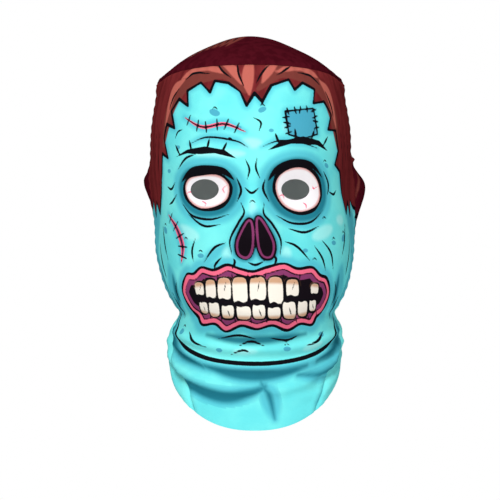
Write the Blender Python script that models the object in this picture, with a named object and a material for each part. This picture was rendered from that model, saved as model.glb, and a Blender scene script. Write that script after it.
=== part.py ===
"""Zombie mask: a stretch-knit hood in two sewn panels, in the form that it takes when worn.

Metres, +Z up, the face looks along -Y, and +X is the wearer's left. The origin is the inside of
the crown, where the top of the head carries the mask. Drops are measured down from the crown.
"""

import math
from collections import namedtuple

import bmesh
import bpy
import numpy as np
from mathutils import Matrix

# Driving sizes of the mask, in metres
MASK_DROP = 0.315  # crown to the lowest point of the front hem
NAPE_DROP = 0.250  # crown to the hem at the nape
HEAD_BREADTH = 0.162  # across the hood above the ears
HEAD_LENGTH = 0.196  # brow to the back of the head
FABRIC = 0.0015  # knit wall
SEAM_GAP = 0.0003  # between the two panels along their seam

# Eye holes, cut in the face panel
EYE_SPACING = 0.070
EYE_DROP = 0.127
EYE_WIDTH = 0.022
EYE_HEIGHT = 0.016

# Shape of the horizontal sections, as superellipse exponents
FACE_FULLNESS = 2.3
BACK_FULLNESS = 2.1
HEM_SWEEP = 2.0  # how fast the hem climbs from the front to the nape

# Mesh density
FACE_COLUMNS = 26
BACK_COLUMNS = 28
CROWN_RINGS = 7
ROWS = 42  # from the crown seam down to the hem
MIDDLE_BIAS = 0.22  # 0 spaces the face's columns evenly, and more gathers them at its middle
ROUND_STEPS = 24
CURVE_STEPS = 12

CUTTER_REACH = 2.0  # the eye cutters run this many half lengths of the head

# How far down the hood the rows have come, so that they gather at the throat
RowMark = namedtuple("RowMark", "rows drop")
ROW_MARKS = (
    RowMark(0.00, 0.00),
    RowMark(0.55, 0.68),
    RowMark(1.00, 1.00),
)

# Horizontal sections from the crown down. drop is a share of MASK_DROP, half_width and lean of
# half of HEAD_BREADTH, front and back of half of HEAD_LENGTH.
Section = namedtuple("Section", "name drop half_width front back lean")
SECTIONS = (
    Section("crown", 0.000, 0.000, 0.000, 0.000, 0.000),
    Section("crown_top", 0.008, 0.190, 0.250, 0.270, 0.000),
    Section("crown_slope", 0.026, 0.380, 0.450, 0.480, 0.000),
    Section("crown_shoulder", 0.056, 0.620, 0.670, 0.720, 0.000),
    Section("crown_seam", 0.090, 0.805, 0.815, 0.865, 0.002),
    Section("crown_corners", 0.118, 0.890, 0.880, 0.925, 0.004),
    Section("hairline", 0.165, 0.945, 0.950, 0.975, 0.005),
    Section("forehead", 0.245, 0.995, 0.990, 1.000, 0.005),
    Section("brow", 0.335, 1.000, 1.005, 1.000, 0.005),
    Section("eyes", 0.405, 0.985, 0.975, 0.995, 0.014),
    Section("cheeks", 0.480, 0.985, 0.960, 0.965, 0.036),
    Section("nose_base", 0.550, 0.990, 0.960, 0.900, 0.048),
    Section("mouth", 0.610, 0.950, 0.965, 0.820, 0.056),
    Section("lower_lip", 0.655, 0.894, 0.960, 0.755, 0.060),
    Section("jaw", 0.692, 0.822, 0.935, 0.705, 0.066),
    Section("jaw_notch", 0.713, 0.776, 0.895, 0.682, 0.070),
    Section("under_chin", 0.738, 0.815, 0.820, 0.670, 0.066),
    Section("throat_top", 0.780, 0.846, 0.690, 0.680, 0.056),
    Section("throat", 0.835, 0.852, 0.620, 0.700, 0.052),
    Section("neck", 0.900, 0.858, 0.610, 0.725, 0.047),
    Section("neck_base", 1.000, 0.888, 0.650, 0.760, 0.042),
)

# Relief of a plain face under the cloth. across is a share of half of HEAD_BREADTH and is used
# on both sides, wide is a share of it too, drop, up and down are shares of MASK_DROP, and push
# is a share of half of HEAD_LENGTH, outwards along -Y.
FaceForm = namedtuple("FaceForm", "name across drop wide up down push")
FACE_FORMS = (
    FaceForm("brow_ridge", 0.34, 0.335, 0.40, 0.045, 0.036, 0.025),
    FaceForm("eye_hollow", 0.43, 0.415, 0.21, 0.045, 0.050, -0.060),
    FaceForm("cheekbone", 0.56, 0.486, 0.26, 0.055, 0.065, 0.030),
    FaceForm("nose_bridge", 0.00, 0.450, 0.18, 0.080, 0.070, 0.070),
    FaceForm("nose_tip", 0.00, 0.518, 0.24, 0.060, 0.042, 0.120),
    FaceForm("cheek_hollow", 0.66, 0.610, 0.24, 0.060, 0.060, -0.025),
    FaceForm("lips", 0.00, 0.630, 0.42, 0.040, 0.036, 0.025),
    FaceForm("chin", 0.00, 0.712, 0.38, 0.044, 0.030, 0.060),
)

# Bulges of the two sides, outwards along X. side is the sign of X, depth and wide are shares of
# half of HEAD_LENGTH, drop, up and down of MASK_DROP, and push of half of HEAD_BREADTH.
SideForm = namedtuple("SideForm", "name side depth drop wide up down push")
SIDE_FORMS = (
    SideForm("left_ear_rim", 1, 0.17, 0.382, 0.16, 0.045, 0.062, 0.170),
    SideForm("left_ear_lobe", 1, 0.14, 0.450, 0.17, 0.060, 0.070, 0.060),
    SideForm("right_ear_rim", -1, 0.17, 0.372, 0.16, 0.030, 0.050, 0.095),
    SideForm("right_ear_lobe", -1, 0.14, 0.430, 0.17, 0.060, 0.060, 0.025),
    SideForm("left_crown_corner", 1, -0.05, 0.118, 0.10, 0.016, 0.028, 0.045),
    SideForm("right_crown_corner", -1, -0.05, 0.118, 0.10, 0.016, 0.028, 0.045),
)

# Swags of cloth round the throat. side_drop and front_drop are shares of MASK_DROP at the seam
# and under the chin, wide is a share of it too, and height is a share of half of HEAD_LENGTH.
Swag = namedtuple("Swag", "name side_drop front_drop wide height")
SWAGS = (
    Swag("chin_swag", 0.752, 0.800, 0.012, 0.034),
    Swag("upper_swag", 0.780, 0.845, 0.013, 0.036),
    Swag("lower_swag", 0.812, 0.905, 0.015, 0.034),
)
SWAG_REACH = 1.75  # radians from the front at which the swags have died away
SWAG_SHARPNESS = 1.7  # how pointed the swags hang at the front

# The seam as seen from the side: down each side from the corner, and from past the forehead
# back to the corner. drop is a share of MASK_DROP, and depth is a share of half of HEAD_LENGTH,
# positive backwards.
SeamPoint = namedtuple("SeamPoint", "name drop depth")
SIDE_SEAM = (
    SeamPoint("corner", 0.120, -0.05),
    SeamPoint("temple", 0.254, -0.01),
    SeamPoint("ear_top", 0.381, 0.01),
    SeamPoint("ear_front", 0.476, 0.02),
    SeamPoint("ear_lobe", 0.587, -0.01),
    SeamPoint("jaw", 0.708, -0.09),
    SeamPoint("throat_top", 0.778, -0.19),
    SeamPoint("throat", 0.832, -0.28),
    SeamPoint("neck", 0.890, -0.41),
    SeamPoint("hem", 1.000, -0.56),
)
CROWN_SEAM = (
    SeamPoint("crown_front", 0.082, -1.35),
    SeamPoint("crown_middle", 0.095, -0.80),
    SeamPoint("crown_side", 0.114, -0.25),
    SeamPoint("corner", 0.120, -0.05),
)
SETTLE_STEPS = 12  # rounds in which a seam's end settles on the hem and on the sections
TURN_STEP = 0.01  # radians, and metres below, over which the cloth's slope is taken
TRAVEL_STEP = 0.001

# Plain printed colours, as linear RGB
SKIN_COLOUR = (0.20, 0.91, 0.93)
HAIR_COLOUR = (0.078, 0.006, 0.013)
KNIT_ROUGHNESS = 0.78

HALF_BREADTH = HEAD_BREADTH / 2
HALF_LENGTH = HEAD_LENGTH / 2


def clear_scene():
    """Removes what the startup file holds."""
    for old in list(bpy.data.objects):
        bpy.data.objects.remove(old)


def collection(name):
    """Makes a collection of the scene."""
    made = bpy.data.collections.new(name)
    bpy.context.scene.collection.children.link(made)
    return made


def spline(points, before, after):
    """Samples a Catmull-Rom spline through rows of numbers, with a ghost row at each end."""
    rows = np.vstack([before, points, after])
    steps = np.linspace(0, 1, CURVE_STEPS, endpoint=False)[:, None]
    runs = []
    for a, b, c, d in zip(rows, rows[1:], rows[2:], rows[3:]):
        bend = 2 * a - 5 * b + 4 * c - d
        twist = 3 * (b - c) + d - a
        runs.append(b + (c - a) * steps / 2 + bend * steps**2 / 2 + twist * steps**3 / 2)
    return np.vstack([*runs, points[-1]])


def section_curve():
    """The smooth run of sections: (travel down the hood, drop, half width, front, back, lean)."""
    rows = np.array(
        [
            (
                row.drop * MASK_DROP,
                row.half_width * HALF_BREADTH,
                row.front * HALF_LENGTH,
                row.back * HALF_LENGTH,
                row.lean * HALF_BREADTH,
            )
            for row in SECTIONS
        ]
    )
    over_the_crown = rows[1] * (1, -1, -1, -1, 1)
    past_the_hem = 2 * rows[-1] - rows[-2]
    fine = spline(rows, over_the_crown, past_the_hem)
    steps = np.linalg.norm(np.diff(fine[:, :3], axis=0), axis=1)
    travel = np.concatenate([[0], np.cumsum(steps)])
    return np.column_stack([travel, fine]).T


def seam_curve(rows):
    """The smooth seam from the side, as (drop, depth) sorted the way that the rows run."""
    points = np.array([(row.drop * MASK_DROP, row.depth * HALF_LENGTH) for row in rows])
    return spline(points, 2 * points[0] - points[1], 2 * points[-1] - points[-2]).T


TRAVEL, DROP, HALF_WIDTH, FRONT, BACK, LEAN = section_curve()
SIDE_SEAM_DROP, SIDE_SEAM_DEPTH = seam_curve(SIDE_SEAM)
CROWN_SEAM_DROP, CROWN_SEAM_DEPTH = seam_curve(CROWN_SEAM)
CORNER_DROP = SIDE_SEAM[0].drop * MASK_DROP


def rounded(angle_part, fullness):
    """A sine or cosine, bent into the superellipse of this exponent."""
    return np.sign(angle_part) * np.abs(angle_part) ** (2 / fullness)


def hem_drop(angle):
    """Drop of the hem at an angle from the front."""
    frontness = ((1 + np.cos(angle)) / 2) ** HEM_SWEEP
    return NAPE_DROP + (MASK_DROP - NAPE_DROP) * frontness


def seam_angle(drop, shift):
    """Angle from the front at which the side seam, shifted backwards, crosses a section."""
    depth = np.interp(drop, SIDE_SEAM_DROP, SIDE_SEAM_DEPTH) + shift
    ahead = np.clip(-depth / np.interp(drop, DROP, FRONT), 0, 1) ** (FACE_FULLNESS / 2)
    behind = np.clip(depth / np.interp(drop, DROP, BACK), 0, 1) ** (BACK_FULLNESS / 2)
    return np.arccos(ahead - behind)


def crown_seam_drop(angle):
    """Drop of the crown seam at an angle from the front."""
    drop = np.full(np.shape(angle), CORNER_DROP)
    for _ in range(SETTLE_STEPS):
        depth = -np.interp(drop, DROP, FRONT) * rounded(np.cos(angle), FACE_FULLNESS)
        drop = np.interp(depth, CROWN_SEAM_DEPTH, CROWN_SEAM_DROP)
    return drop


def seam_end():
    """Drop and angle at which the side seam meets the hem."""
    drop = MASK_DROP
    for _ in range(SETTLE_STEPS):
        drop = hem_drop(seam_angle(drop, 0))
    return drop, seam_angle(drop, 0)


def hill(distance, before, after):
    """A smooth hill, with its own reach on each side of its top."""
    return np.exp(-((distance / np.where(distance < 0, before, after)) ** 2))


def add_face_relief(points, drop):
    """Pushes the plain face out along -Y."""
    facing = np.clip(-points[..., 1] / HALF_LENGTH, 0, 1)
    for form in FACE_FORMS:
        wide = form.wide * HALF_BREADTH
        down = hill(drop - form.drop * MASK_DROP, form.up * MASK_DROP, form.down * MASK_DROP)
        spots = {form.across, -form.across}
        across = sum(hill(points[..., 0] - spot * HALF_BREADTH, wide, wide) for spot in spots)
        points[..., 1] -= form.push * HALF_LENGTH * down * across * facing


def add_side_relief(points, drop):
    """Pushes the ears and the sewn crown corners out along X."""
    for form in SIDE_FORMS:
        wide = form.wide * HALF_LENGTH
        down = hill(drop - form.drop * MASK_DROP, form.up * MASK_DROP, form.down * MASK_DROP)
        back = hill(points[..., 1] - form.depth * HALF_LENGTH, wide, wide)
        outward = np.clip(form.side * points[..., 0] / HALF_BREADTH, 0, 1)
        points[..., 0] += form.side * form.push * HALF_BREADTH * down * back * outward


def add_swags(points, drop, angle):
    """Raises the folds that hang round the throat."""
    fade = np.clip(1 - (np.abs(angle) / SWAG_REACH) ** 4, 0, 1)
    for swag in SWAGS:
        sweep = (np.cos(np.clip(angle, -math.pi / 2, math.pi / 2))) ** SWAG_SHARPNESS
        middle = (swag.side_drop + (swag.front_drop - swag.side_drop) * sweep) * MASK_DROP
        wide = swag.wide * MASK_DROP
        rise = swag.height * HALF_LENGTH * fade * hill(drop - middle, wide, wide)
        points[..., 0] += rise * np.sin(angle)
        points[..., 1] -= rise * np.cos(angle)


def hood_points(angle, travel):
    """Points of the hood's outside, from angles off the front and travels down from the crown."""
    drop, half_width, front, back, lean = (
        np.interp(travel, TRAVEL, values) for values in (DROP, HALF_WIDTH, FRONT, BACK, LEAN)
    )
    ahead = np.cos(angle) > 0
    fullness = np.where(ahead, FACE_FULLNESS, BACK_FULLNESS)
    points = np.empty((*angle.shape, 3))
    points[..., 0] = half_width * rounded(np.sin(angle), fullness)
    points[..., 1] = -np.where(ahead, front, back) * rounded(np.cos(angle), fullness)
    points[..., 2] = FABRIC - drop
    add_face_relief(points, drop)
    add_side_relief(points, drop)
    add_swags(points, drop, angle)
    points[..., 0] += lean
    return points


def wall_points(angle, travel):
    """The outside and the inside of the cloth at the same places."""
    outside = hood_points(angle, travel)
    around = hood_points(angle + TURN_STEP, travel) - hood_points(angle - TURN_STEP, travel)
    down = hood_points(angle, travel + TRAVEL_STEP) - hood_points(angle, travel - TRAVEL_STEP)
    inward = np.cross(around, down)
    inward /= np.linalg.norm(inward, axis=-1)[..., None]
    return outside, outside + FABRIC * inward


def wrapped(angle):
    """Angles past the back, counted from the front the other way round."""
    return np.where(angle > math.pi, angle - 2 * math.pi, angle)


def row_shares():
    """Shares of the way from the crown seam to the hem, a row each."""
    marks = np.array(ROW_MARKS)
    return np.interp(np.arange(ROWS + 1) / ROWS, marks[:, 0], marks[:, 1])[:, None]


def face_grid():
    """Rows of points of the face panel, from the crown seam to the hem."""
    even = np.linspace(-1, 1, FACE_COLUMNS + 1)
    across = even + MIDDLE_BIAS * (even**3 - even)
    share = row_shares()
    end_drop, end_angle = seam_end()
    angle = across * seam_angle(CORNER_DROP + share * (end_drop - CORNER_DROP), -SEAM_GAP / 2)
    top = crown_seam_drop(angle[0]) + SEAM_GAP / 2
    drop = top + share * (hem_drop(across * end_angle) - top)
    return wall_points(angle, np.interp(drop, DROP, TRAVEL))


def back_grid():
    """Rows of points behind the side seams, from the height of the corners to the hem."""
    around = np.linspace(0, 1, BACK_COLUMNS + 1)
    share = row_shares()
    end_drop, end_angle = seam_end()
    seam = seam_angle(CORNER_DROP + share * (end_drop - CORNER_DROP), SEAM_GAP / 2)
    angle = seam + around * 2 * (math.pi - seam)
    hem = hem_drop(end_angle + around * 2 * (math.pi - end_angle))
    drop = CORNER_DROP + share * (hem - CORNER_DROP)
    return wall_points(wrapped(angle), np.interp(drop, DROP, TRAVEL))


def crown_grid():
    """Rings of points over the crown, and how many columns of them end at the crown seam."""
    corner = seam_angle(CORNER_DROP, SEAM_GAP / 2)
    even = np.linspace(-1, 1, FACE_COLUMNS + 1)
    front = (even + MIDDLE_BIAS * (even**3 - even)) * corner
    around = np.linspace(0, 1, BACK_COLUMNS + 1)[1:-1]
    behind = corner + around * 2 * (math.pi - corner)
    edge = np.full(behind.shape, CORNER_DROP)
    fall = np.clip(crown_seam_drop(front) - SEAM_GAP / 2, 0, CORNER_DROP)
    fall[[0, -1]] = CORNER_DROP
    reach = np.interp(np.concatenate([fall, edge]), DROP, TRAVEL)
    travel = reach * (np.arange(1, CROWN_RINGS + 1) / CROWN_RINGS)[:, None]
    angle = np.concatenate([front, wrapped(behind)])
    return wall_points(np.broadcast_to(angle, travel.shape), travel)


def join_rows(build, rows, closed):
    """Fills between rows of corners, and round to the first column when closed."""
    columns = len(rows[0])
    for upper, lower in zip(rows, rows[1:]):
        for column in range(columns if closed else columns - 1):
            after = (column + 1) % columns
            build.faces.new((upper[column], lower[column], lower[after], upper[after]))


def join_edges(build, outside, inside):
    """Closes the wall along its free edges, split the same way on both sides of a seam."""
    other = dict(zip(outside, inside))
    for edge in [edge for edge in build.edges if edge.is_boundary and edge.verts[0] in other]:
        lower, upper = sorted(edge.verts, key=lambda corner: (corner.co.z, corner.co.x))
        build.faces.new((upper, lower, other[lower]))
        build.faces.new((upper, other[lower], other[upper]))


def face_surface():
    """The face panel as a closed wall, before the eye holes are cut."""
    build = bmesh.new()
    skins = [
        [[build.verts.new(point) for point in row] for row in points] for points in face_grid()
    ]
    for rows in skins:
        join_rows(build, rows, False)
    join_edges(build, *(sum(rows, []) for rows in skins))
    return finish_wall(build, "face")


def back_surface():
    """The crown and the back in one, as a closed wall."""
    build = bmesh.new()
    skins = []
    for height, rings, rows in zip((FABRIC, 0), crown_grid(), back_grid()):
        rings = [[build.verts.new(point) for point in ring] for ring in rings]
        pole = build.verts.new((0, 0, height))
        for corner, after in zip(rings[0], rings[0][1:] + rings[0][:1]):
            build.faces.new((pole, corner, after))
        join_rows(build, rings, True)
        rows = [[build.verts.new(point) for point in row] for row in rows[1:]]
        join_rows(build, [[*rings[-1][FACE_COLUMNS:], rings[-1][0]], *rows], False)
        skins.append([pole, *sum(rings, []), *sum(rows, [])])
    join_edges(build, *skins)
    return finish_wall(build, "back")


def finish_wall(build, name):
    """Turns a closed bmesh into a mesh with its normals out."""
    bmesh.ops.recalc_face_normals(build, faces=build.faces)
    mesh = bpy.data.meshes.new(name)
    build.to_mesh(mesh)
    build.free()
    return mesh


def eye_cutter(name, side, home):
    """An oval bar through the face at one eye hole."""
    build = bmesh.new()
    shape = Matrix.Diagonal((EYE_WIDTH, EYE_HEIGHT, CUTTER_REACH * HALF_LENGTH, 1))
    bmesh.ops.create_cone(
        build,
        cap_ends=True,
        segments=ROUND_STEPS,
        radius1=0.5,
        radius2=0.5,
        depth=1,
        matrix=Matrix.Rotation(math.pi / 2, 4, "X") @ shape,
    )
    made = cutter(name, build, home)
    made.location = (side * EYE_SPACING / 2, -CUTTER_REACH * HALF_LENGTH / 2, FABRIC - EYE_DROP)
    return made


def cutter(name, build, home):
    """Turns a bmesh into a hidden helper."""
    mesh = bpy.data.meshes.new(name)
    build.to_mesh(mesh)
    build.free()
    made = bpy.data.objects.new(name, mesh)
    made.hide_render = True
    made.display_type = "WIRE"
    home.objects.link(made)
    return made


def knit(name, colour):
    """The plain colour of a printed knit."""
    material = bpy.data.materials.new(name)
    material.use_nodes = True
    shader = material.node_tree.nodes["Principled BSDF"]
    shader.inputs["Base Color"].default_value = (*colour, 1)
    shader.inputs["Roughness"].default_value = KNIT_ROUGHNESS
    shader.inputs["Metallic"].default_value = 0
    return material


def panel(name, surface, material, home):
    """One panel of printed knit."""
    made = bpy.data.objects.new(name, surface)
    made.data.materials.append(material)
    home.objects.link(made)
    return made


def cut(made, name, tool):
    """Cuts one cutter out of a panel."""
    step = made.modifiers.new(name, "BOOLEAN")
    step.operation = "DIFFERENCE"
    step.object = tool
    step.solver = "EXACT"


def main():
    """Builds the two panels of the mask."""
    clear_scene()
    mask = collection("zombie_mask")
    cutters = collection("cutters")
    face = panel("face_panel", face_surface(), knit("face_print", SKIN_COLOUR), mask)
    for side, name in ((1, "left_eye_hole"), (-1, "right_eye_hole")):
        cut(face, name, eye_cutter(name, side, cutters))
    panel("hood_back", back_surface(), knit("hair_print", HAIR_COLOUR), mask)


main()
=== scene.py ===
"""Looks of the zombie mask: two printed stretch-knit panels, sewn together and worn.

Lengths are millimetres, measured on the hood, until a mesh is made, which is in metres. Drops
are measured down from the crown, angles from the front, and arcs along the cloth.
"""

from __future__ import annotations

import logging
import math
from dataclasses import dataclass, field
from enum import Enum
from typing import Iterable, NamedTuple, Sequence

import bpy
import numpy as np
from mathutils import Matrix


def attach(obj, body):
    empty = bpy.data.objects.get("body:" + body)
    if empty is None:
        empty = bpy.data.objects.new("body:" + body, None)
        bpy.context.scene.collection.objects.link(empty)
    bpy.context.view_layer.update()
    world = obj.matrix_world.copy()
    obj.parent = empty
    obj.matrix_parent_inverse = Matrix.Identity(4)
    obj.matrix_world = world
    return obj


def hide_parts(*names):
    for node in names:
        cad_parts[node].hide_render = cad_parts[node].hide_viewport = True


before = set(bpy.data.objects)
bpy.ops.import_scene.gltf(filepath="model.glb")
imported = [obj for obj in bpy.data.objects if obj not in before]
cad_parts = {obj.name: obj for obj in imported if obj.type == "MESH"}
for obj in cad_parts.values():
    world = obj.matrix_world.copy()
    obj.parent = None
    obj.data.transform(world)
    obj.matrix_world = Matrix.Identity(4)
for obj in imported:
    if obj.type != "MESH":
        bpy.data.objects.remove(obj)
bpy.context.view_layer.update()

LOG = logging.getLogger("zombie_mask")
MM = 0.001
FAR = 9.0
Points = Sequence[tuple[float, float]]


class Section(NamedTuple):
    """A horizontal section, as shares of the hood's drop, half breadth and half length."""

    drop: float
    half_width: float
    front: float
    back: float
    lean: float


class SeamPoint(NamedTuple):
    """A point of the seam seen from the side, as shares of the drop and the half length."""

    drop: float
    depth: float


class FaceForm(NamedTuple):
    """A swelling of the plain face under the cloth."""

    across: float
    drop: float
    wide: float
    up: float
    down: float
    push: float


class SideForm(NamedTuple):
    """A swelling of one side of the hood."""

    side: int
    depth: float
    drop: float
    wide: float
    up: float
    down: float
    push: float


class Swag(NamedTuple):
    """A fold of cloth that hangs round the throat."""

    side_drop: float
    front_drop: float
    wide: float
    height: float


SECTIONS = (
    Section(0.000, 0.000, 0.000, 0.000, 0.000),
    Section(0.008, 0.190, 0.250, 0.270, 0.000),
    Section(0.026, 0.380, 0.450, 0.480, 0.000),
    Section(0.056, 0.620, 0.670, 0.720, 0.000),
    Section(0.090, 0.805, 0.815, 0.865, 0.002),
    Section(0.118, 0.890, 0.880, 0.925, 0.004),
    Section(0.165, 0.945, 0.950, 0.975, 0.005),
    Section(0.245, 0.995, 0.990, 1.000, 0.005),
    Section(0.335, 1.000, 1.005, 1.000, 0.005),
    Section(0.405, 0.985, 0.975, 0.995, 0.014),
    Section(0.480, 0.985, 0.960, 0.965, 0.036),
    Section(0.550, 0.990, 0.960, 0.900, 0.048),
    Section(0.610, 0.950, 0.965, 0.820, 0.056),
    Section(0.655, 0.894, 0.960, 0.755, 0.060),
    Section(0.692, 0.822, 0.935, 0.705, 0.066),
    Section(0.713, 0.776, 0.895, 0.682, 0.070),
    Section(0.738, 0.815, 0.820, 0.670, 0.066),
    Section(0.780, 0.846, 0.690, 0.680, 0.056),
    Section(0.835, 0.852, 0.620, 0.700, 0.052),
    Section(0.900, 0.858, 0.610, 0.725, 0.047),
    Section(1.000, 0.888, 0.650, 0.760, 0.042),
)
FACE_FORMS = (
    FaceForm(0.34, 0.335, 0.40, 0.045, 0.036, 0.025),
    FaceForm(0.43, 0.415, 0.21, 0.045, 0.050, -0.060),
    FaceForm(0.56, 0.486, 0.26, 0.055, 0.065, 0.030),
    FaceForm(0.00, 0.450, 0.18, 0.080, 0.070, 0.070),
    FaceForm(0.00, 0.518, 0.24, 0.060, 0.042, 0.120),
    FaceForm(0.66, 0.610, 0.24, 0.060, 0.060, -0.025),
    FaceForm(0.00, 0.630, 0.42, 0.040, 0.036, 0.025),
    FaceForm(0.00, 0.712, 0.38, 0.044, 0.030, 0.060),
)
SIDE_FORMS = (
    SideForm(1, 0.17, 0.382, 0.16, 0.045, 0.062, 0.170),
    SideForm(1, 0.14, 0.450, 0.17, 0.060, 0.070, 0.060),
    SideForm(-1, 0.17, 0.372, 0.16, 0.030, 0.050, 0.095),
    SideForm(-1, 0.14, 0.430, 0.17, 0.060, 0.060, 0.025),
    SideForm(1, -0.05, 0.118, 0.10, 0.016, 0.028, 0.045),
    SideForm(-1, -0.05, 0.118, 0.10, 0.016, 0.028, 0.045),
)
SWAGS = (
    Swag(0.752, 0.800, 0.012, 0.034),
    Swag(0.780, 0.845, 0.013, 0.036),
    Swag(0.812, 0.905, 0.015, 0.034),
)
SIDE_SEAM = (
    SeamPoint(0.120, -0.05),
    SeamPoint(0.254, -0.01),
    SeamPoint(0.381, 0.01),
    SeamPoint(0.476, 0.02),
    SeamPoint(0.587, -0.01),
    SeamPoint(0.708, -0.09),
    SeamPoint(0.778, -0.19),
    SeamPoint(0.832, -0.28),
    SeamPoint(0.890, -0.41),
    SeamPoint(1.000, -0.56),
)
CROWN_SEAM = (
    SeamPoint(0.082, -1.35),
    SeamPoint(0.095, -0.80),
    SeamPoint(0.114, -0.25),
    SeamPoint(0.120, -0.05),
)


def smooth_path(points: np.ndarray, steps: int, closed: bool = False) -> np.ndarray:
    """Draws a Catmull-Rom curve through rows of numbers.

    Args:
        points: The rows to pass through.
        steps: How many pieces each stretch is cut into.
        closed: Whether the last row runs on to the first.

    Returns:
        The sampled rows, with both ends when the curve is open.
    """
    points = np.asarray(points, dtype=float)
    if closed:
        rows = np.vstack([points[-1], points, points[:2]])
    else:
        rows = np.vstack([2 * points[0] - points[1], points, 2 * points[-1] - points[-2]])
    share = np.linspace(0, 1, steps, endpoint=False)[:, None]
    runs = []
    for a, b, c, d in zip(rows, rows[1:], rows[2:], rows[3:]):
        bend = 2 * a - 5 * b + 4 * c - d
        twist = 3 * (b - c) + d - a
        runs.append(b + (c - a) * share / 2 + bend * share**2 / 2 + twist * share**3 / 2)
    return np.vstack(runs if closed else [*runs, points[-1]])


def hill(distance: np.ndarray, before: float, after: float) -> np.ndarray:
    """A smooth hill, with its own reach on each side of its top."""
    return np.exp(-((distance / np.where(distance < 0, before, after)) ** 2))


def rounded(part: np.ndarray, fullness: np.ndarray | float) -> np.ndarray:
    """A sine or cosine, bent into the superellipse of this exponent."""
    return np.sign(part) * np.abs(part) ** (2 / fullness)


def unit(rows: np.ndarray) -> np.ndarray:
    """Rows scaled to length one."""
    return rows / np.maximum(np.linalg.norm(rows, axis=-1), 1e-9)[..., None]


@dataclass
class HoodForm:
    """The form that both panels take on the head, with the seam and the hem drawn on it."""

    mask_drop: float = 315.0
    nape_drop: float = 250.0
    half_breadth: float = 81.0
    half_length: float = 98.0
    crown_height: float = 1.5
    face_fullness: float = 2.3
    back_fullness: float = 2.1
    hem_sweep: float = 2.0
    swag_reach: float = 1.75
    swag_sharpness: float = 1.7
    curve: np.ndarray = field(init=False)
    side_seam: np.ndarray = field(init=False)
    crown_seam: np.ndarray = field(init=False)

    def __post_init__(self) -> None:
        """Works the tables out into smooth curves."""
        sizes = (
            self.mask_drop,
            self.half_breadth,
            self.half_length,
            self.half_length,
            self.half_breadth,
        )
        rows = np.array(SECTIONS) * sizes
        ghost = rows[1] * (1, -1, -1, -1, 1)
        fine = smooth_path(np.vstack([ghost, rows]), 40)[40:]
        steps = np.linalg.norm(np.diff(fine[:, :3], axis=0), axis=1)
        travel = np.concatenate([[0], np.cumsum(steps)])
        self.curve = np.column_stack([travel, fine]).T
        scale = (self.mask_drop, self.half_length)
        self.side_seam = smooth_path(np.array(SIDE_SEAM) * scale, 24).T
        self.crown_seam = smooth_path(np.array(CROWN_SEAM) * scale, 24).T

    @property
    def corner_drop(self) -> float:
        """Drop of the two sewn corners of the crown."""
        return SIDE_SEAM[0].drop * self.mask_drop

    def drop_at(self, travel: np.ndarray) -> np.ndarray:
        """Drop reached after a travel down from the crown."""
        return np.interp(travel, self.curve[0], self.curve[1])

    def travel_at(self, drop: np.ndarray) -> np.ndarray:
        """Travel down from the crown at a drop."""
        return np.interp(drop, self.curve[1], self.curve[0])

    def reach_at(self, drop: np.ndarray, ahead: bool) -> np.ndarray:
        """How far forward or back the section at a drop reaches."""
        return np.interp(drop, self.curve[1], self.curve[3 if ahead else 4])

    def hem_drop(self, angle: np.ndarray) -> np.ndarray:
        """Drop of the hem at an angle."""
        frontness = ((1 + np.cos(angle)) / 2) ** self.hem_sweep
        return self.nape_drop + (self.mask_drop - self.nape_drop) * frontness

    def seam_angle(self, drop: np.ndarray) -> np.ndarray:
        """Angle at which the side seam crosses the section at a drop."""
        depth = np.interp(drop, *self.side_seam)
        ahead = np.clip(-depth / self.reach_at(drop, True), 0, 1) ** (self.face_fullness / 2)
        behind = np.clip(depth / self.reach_at(drop, False), 0, 1) ** (self.back_fullness / 2)
        return np.arccos(ahead - behind)

    def crown_seam_drop(self, angle: np.ndarray) -> np.ndarray:
        """Drop of the crown seam at an angle."""
        drop = np.full(np.shape(angle), self.corner_drop)
        for _ in range(12):
            depth = -self.reach_at(drop, True) * rounded(np.cos(angle), self.face_fullness)
            drop = np.interp(depth, self.crown_seam[1], self.crown_seam[0])
        return drop

    def seam_end(self) -> tuple[float, float]:
        """Drop and angle at which the side seam meets the hem."""
        drop = self.mask_drop
        for _ in range(12):
            drop = self.hem_drop(self.seam_angle(drop))
        return float(drop), float(self.seam_angle(drop))

    def plain(self, angle: np.ndarray, travel: np.ndarray) -> tuple[np.ndarray, np.ndarray]:
        """Points of the bare sections, before any relief, and their drops."""
        drop, half_width, front, back, _ = (
            np.interp(travel, self.curve[0], row) for row in self.curve[1:]
        )
        ahead = np.cos(angle) > 0
        fullness = np.where(ahead, self.face_fullness, self.back_fullness)
        points = np.empty((*np.shape(angle), 3))
        points[..., 0] = half_width * rounded(np.sin(angle), fullness)
        points[..., 1] = -np.where(ahead, front, back) * rounded(np.cos(angle), fullness)
        points[..., 2] = self.crown_height - drop
        return points, drop

    def points(self, angle: np.ndarray, travel: np.ndarray) -> np.ndarray:
        """Points of the cloth's outside, with the face, the ears and the swags.

        Args:
            angle: Angles from the front, positive to the wearer's left.
            travel: Travels down from the crown.

        Returns:
            Points in millimetres, one for each angle.
        """
        points, drop = self.plain(angle, travel)
        facing = np.clip(-points[..., 1] / self.half_length, 0, 1)
        for form in FACE_FORMS:
            wide = form.wide * self.half_breadth
            down = self._down(drop, form.drop, form.up, form.down)
            spots = {form.across, -form.across}
            across = sum(
                hill(points[..., 0] - spot * self.half_breadth, wide, wide) for spot in spots
            )
            points[..., 1] -= form.push * self.half_length * down * across * facing
        for form in SIDE_FORMS:
            wide = form.wide * self.half_length
            down = self._down(drop, form.drop, form.up, form.down)
            near = hill(points[..., 1] - form.depth * self.half_length, wide, wide)
            outward = np.clip(form.side * points[..., 0] / self.half_breadth, 0, 1)
            points[..., 0] += form.side * form.push * self.half_breadth * down * near * outward
        self._hang_swags(points, drop, angle)
        points[..., 0] += np.interp(travel, self.curve[0], self.curve[5])
        return points

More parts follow.
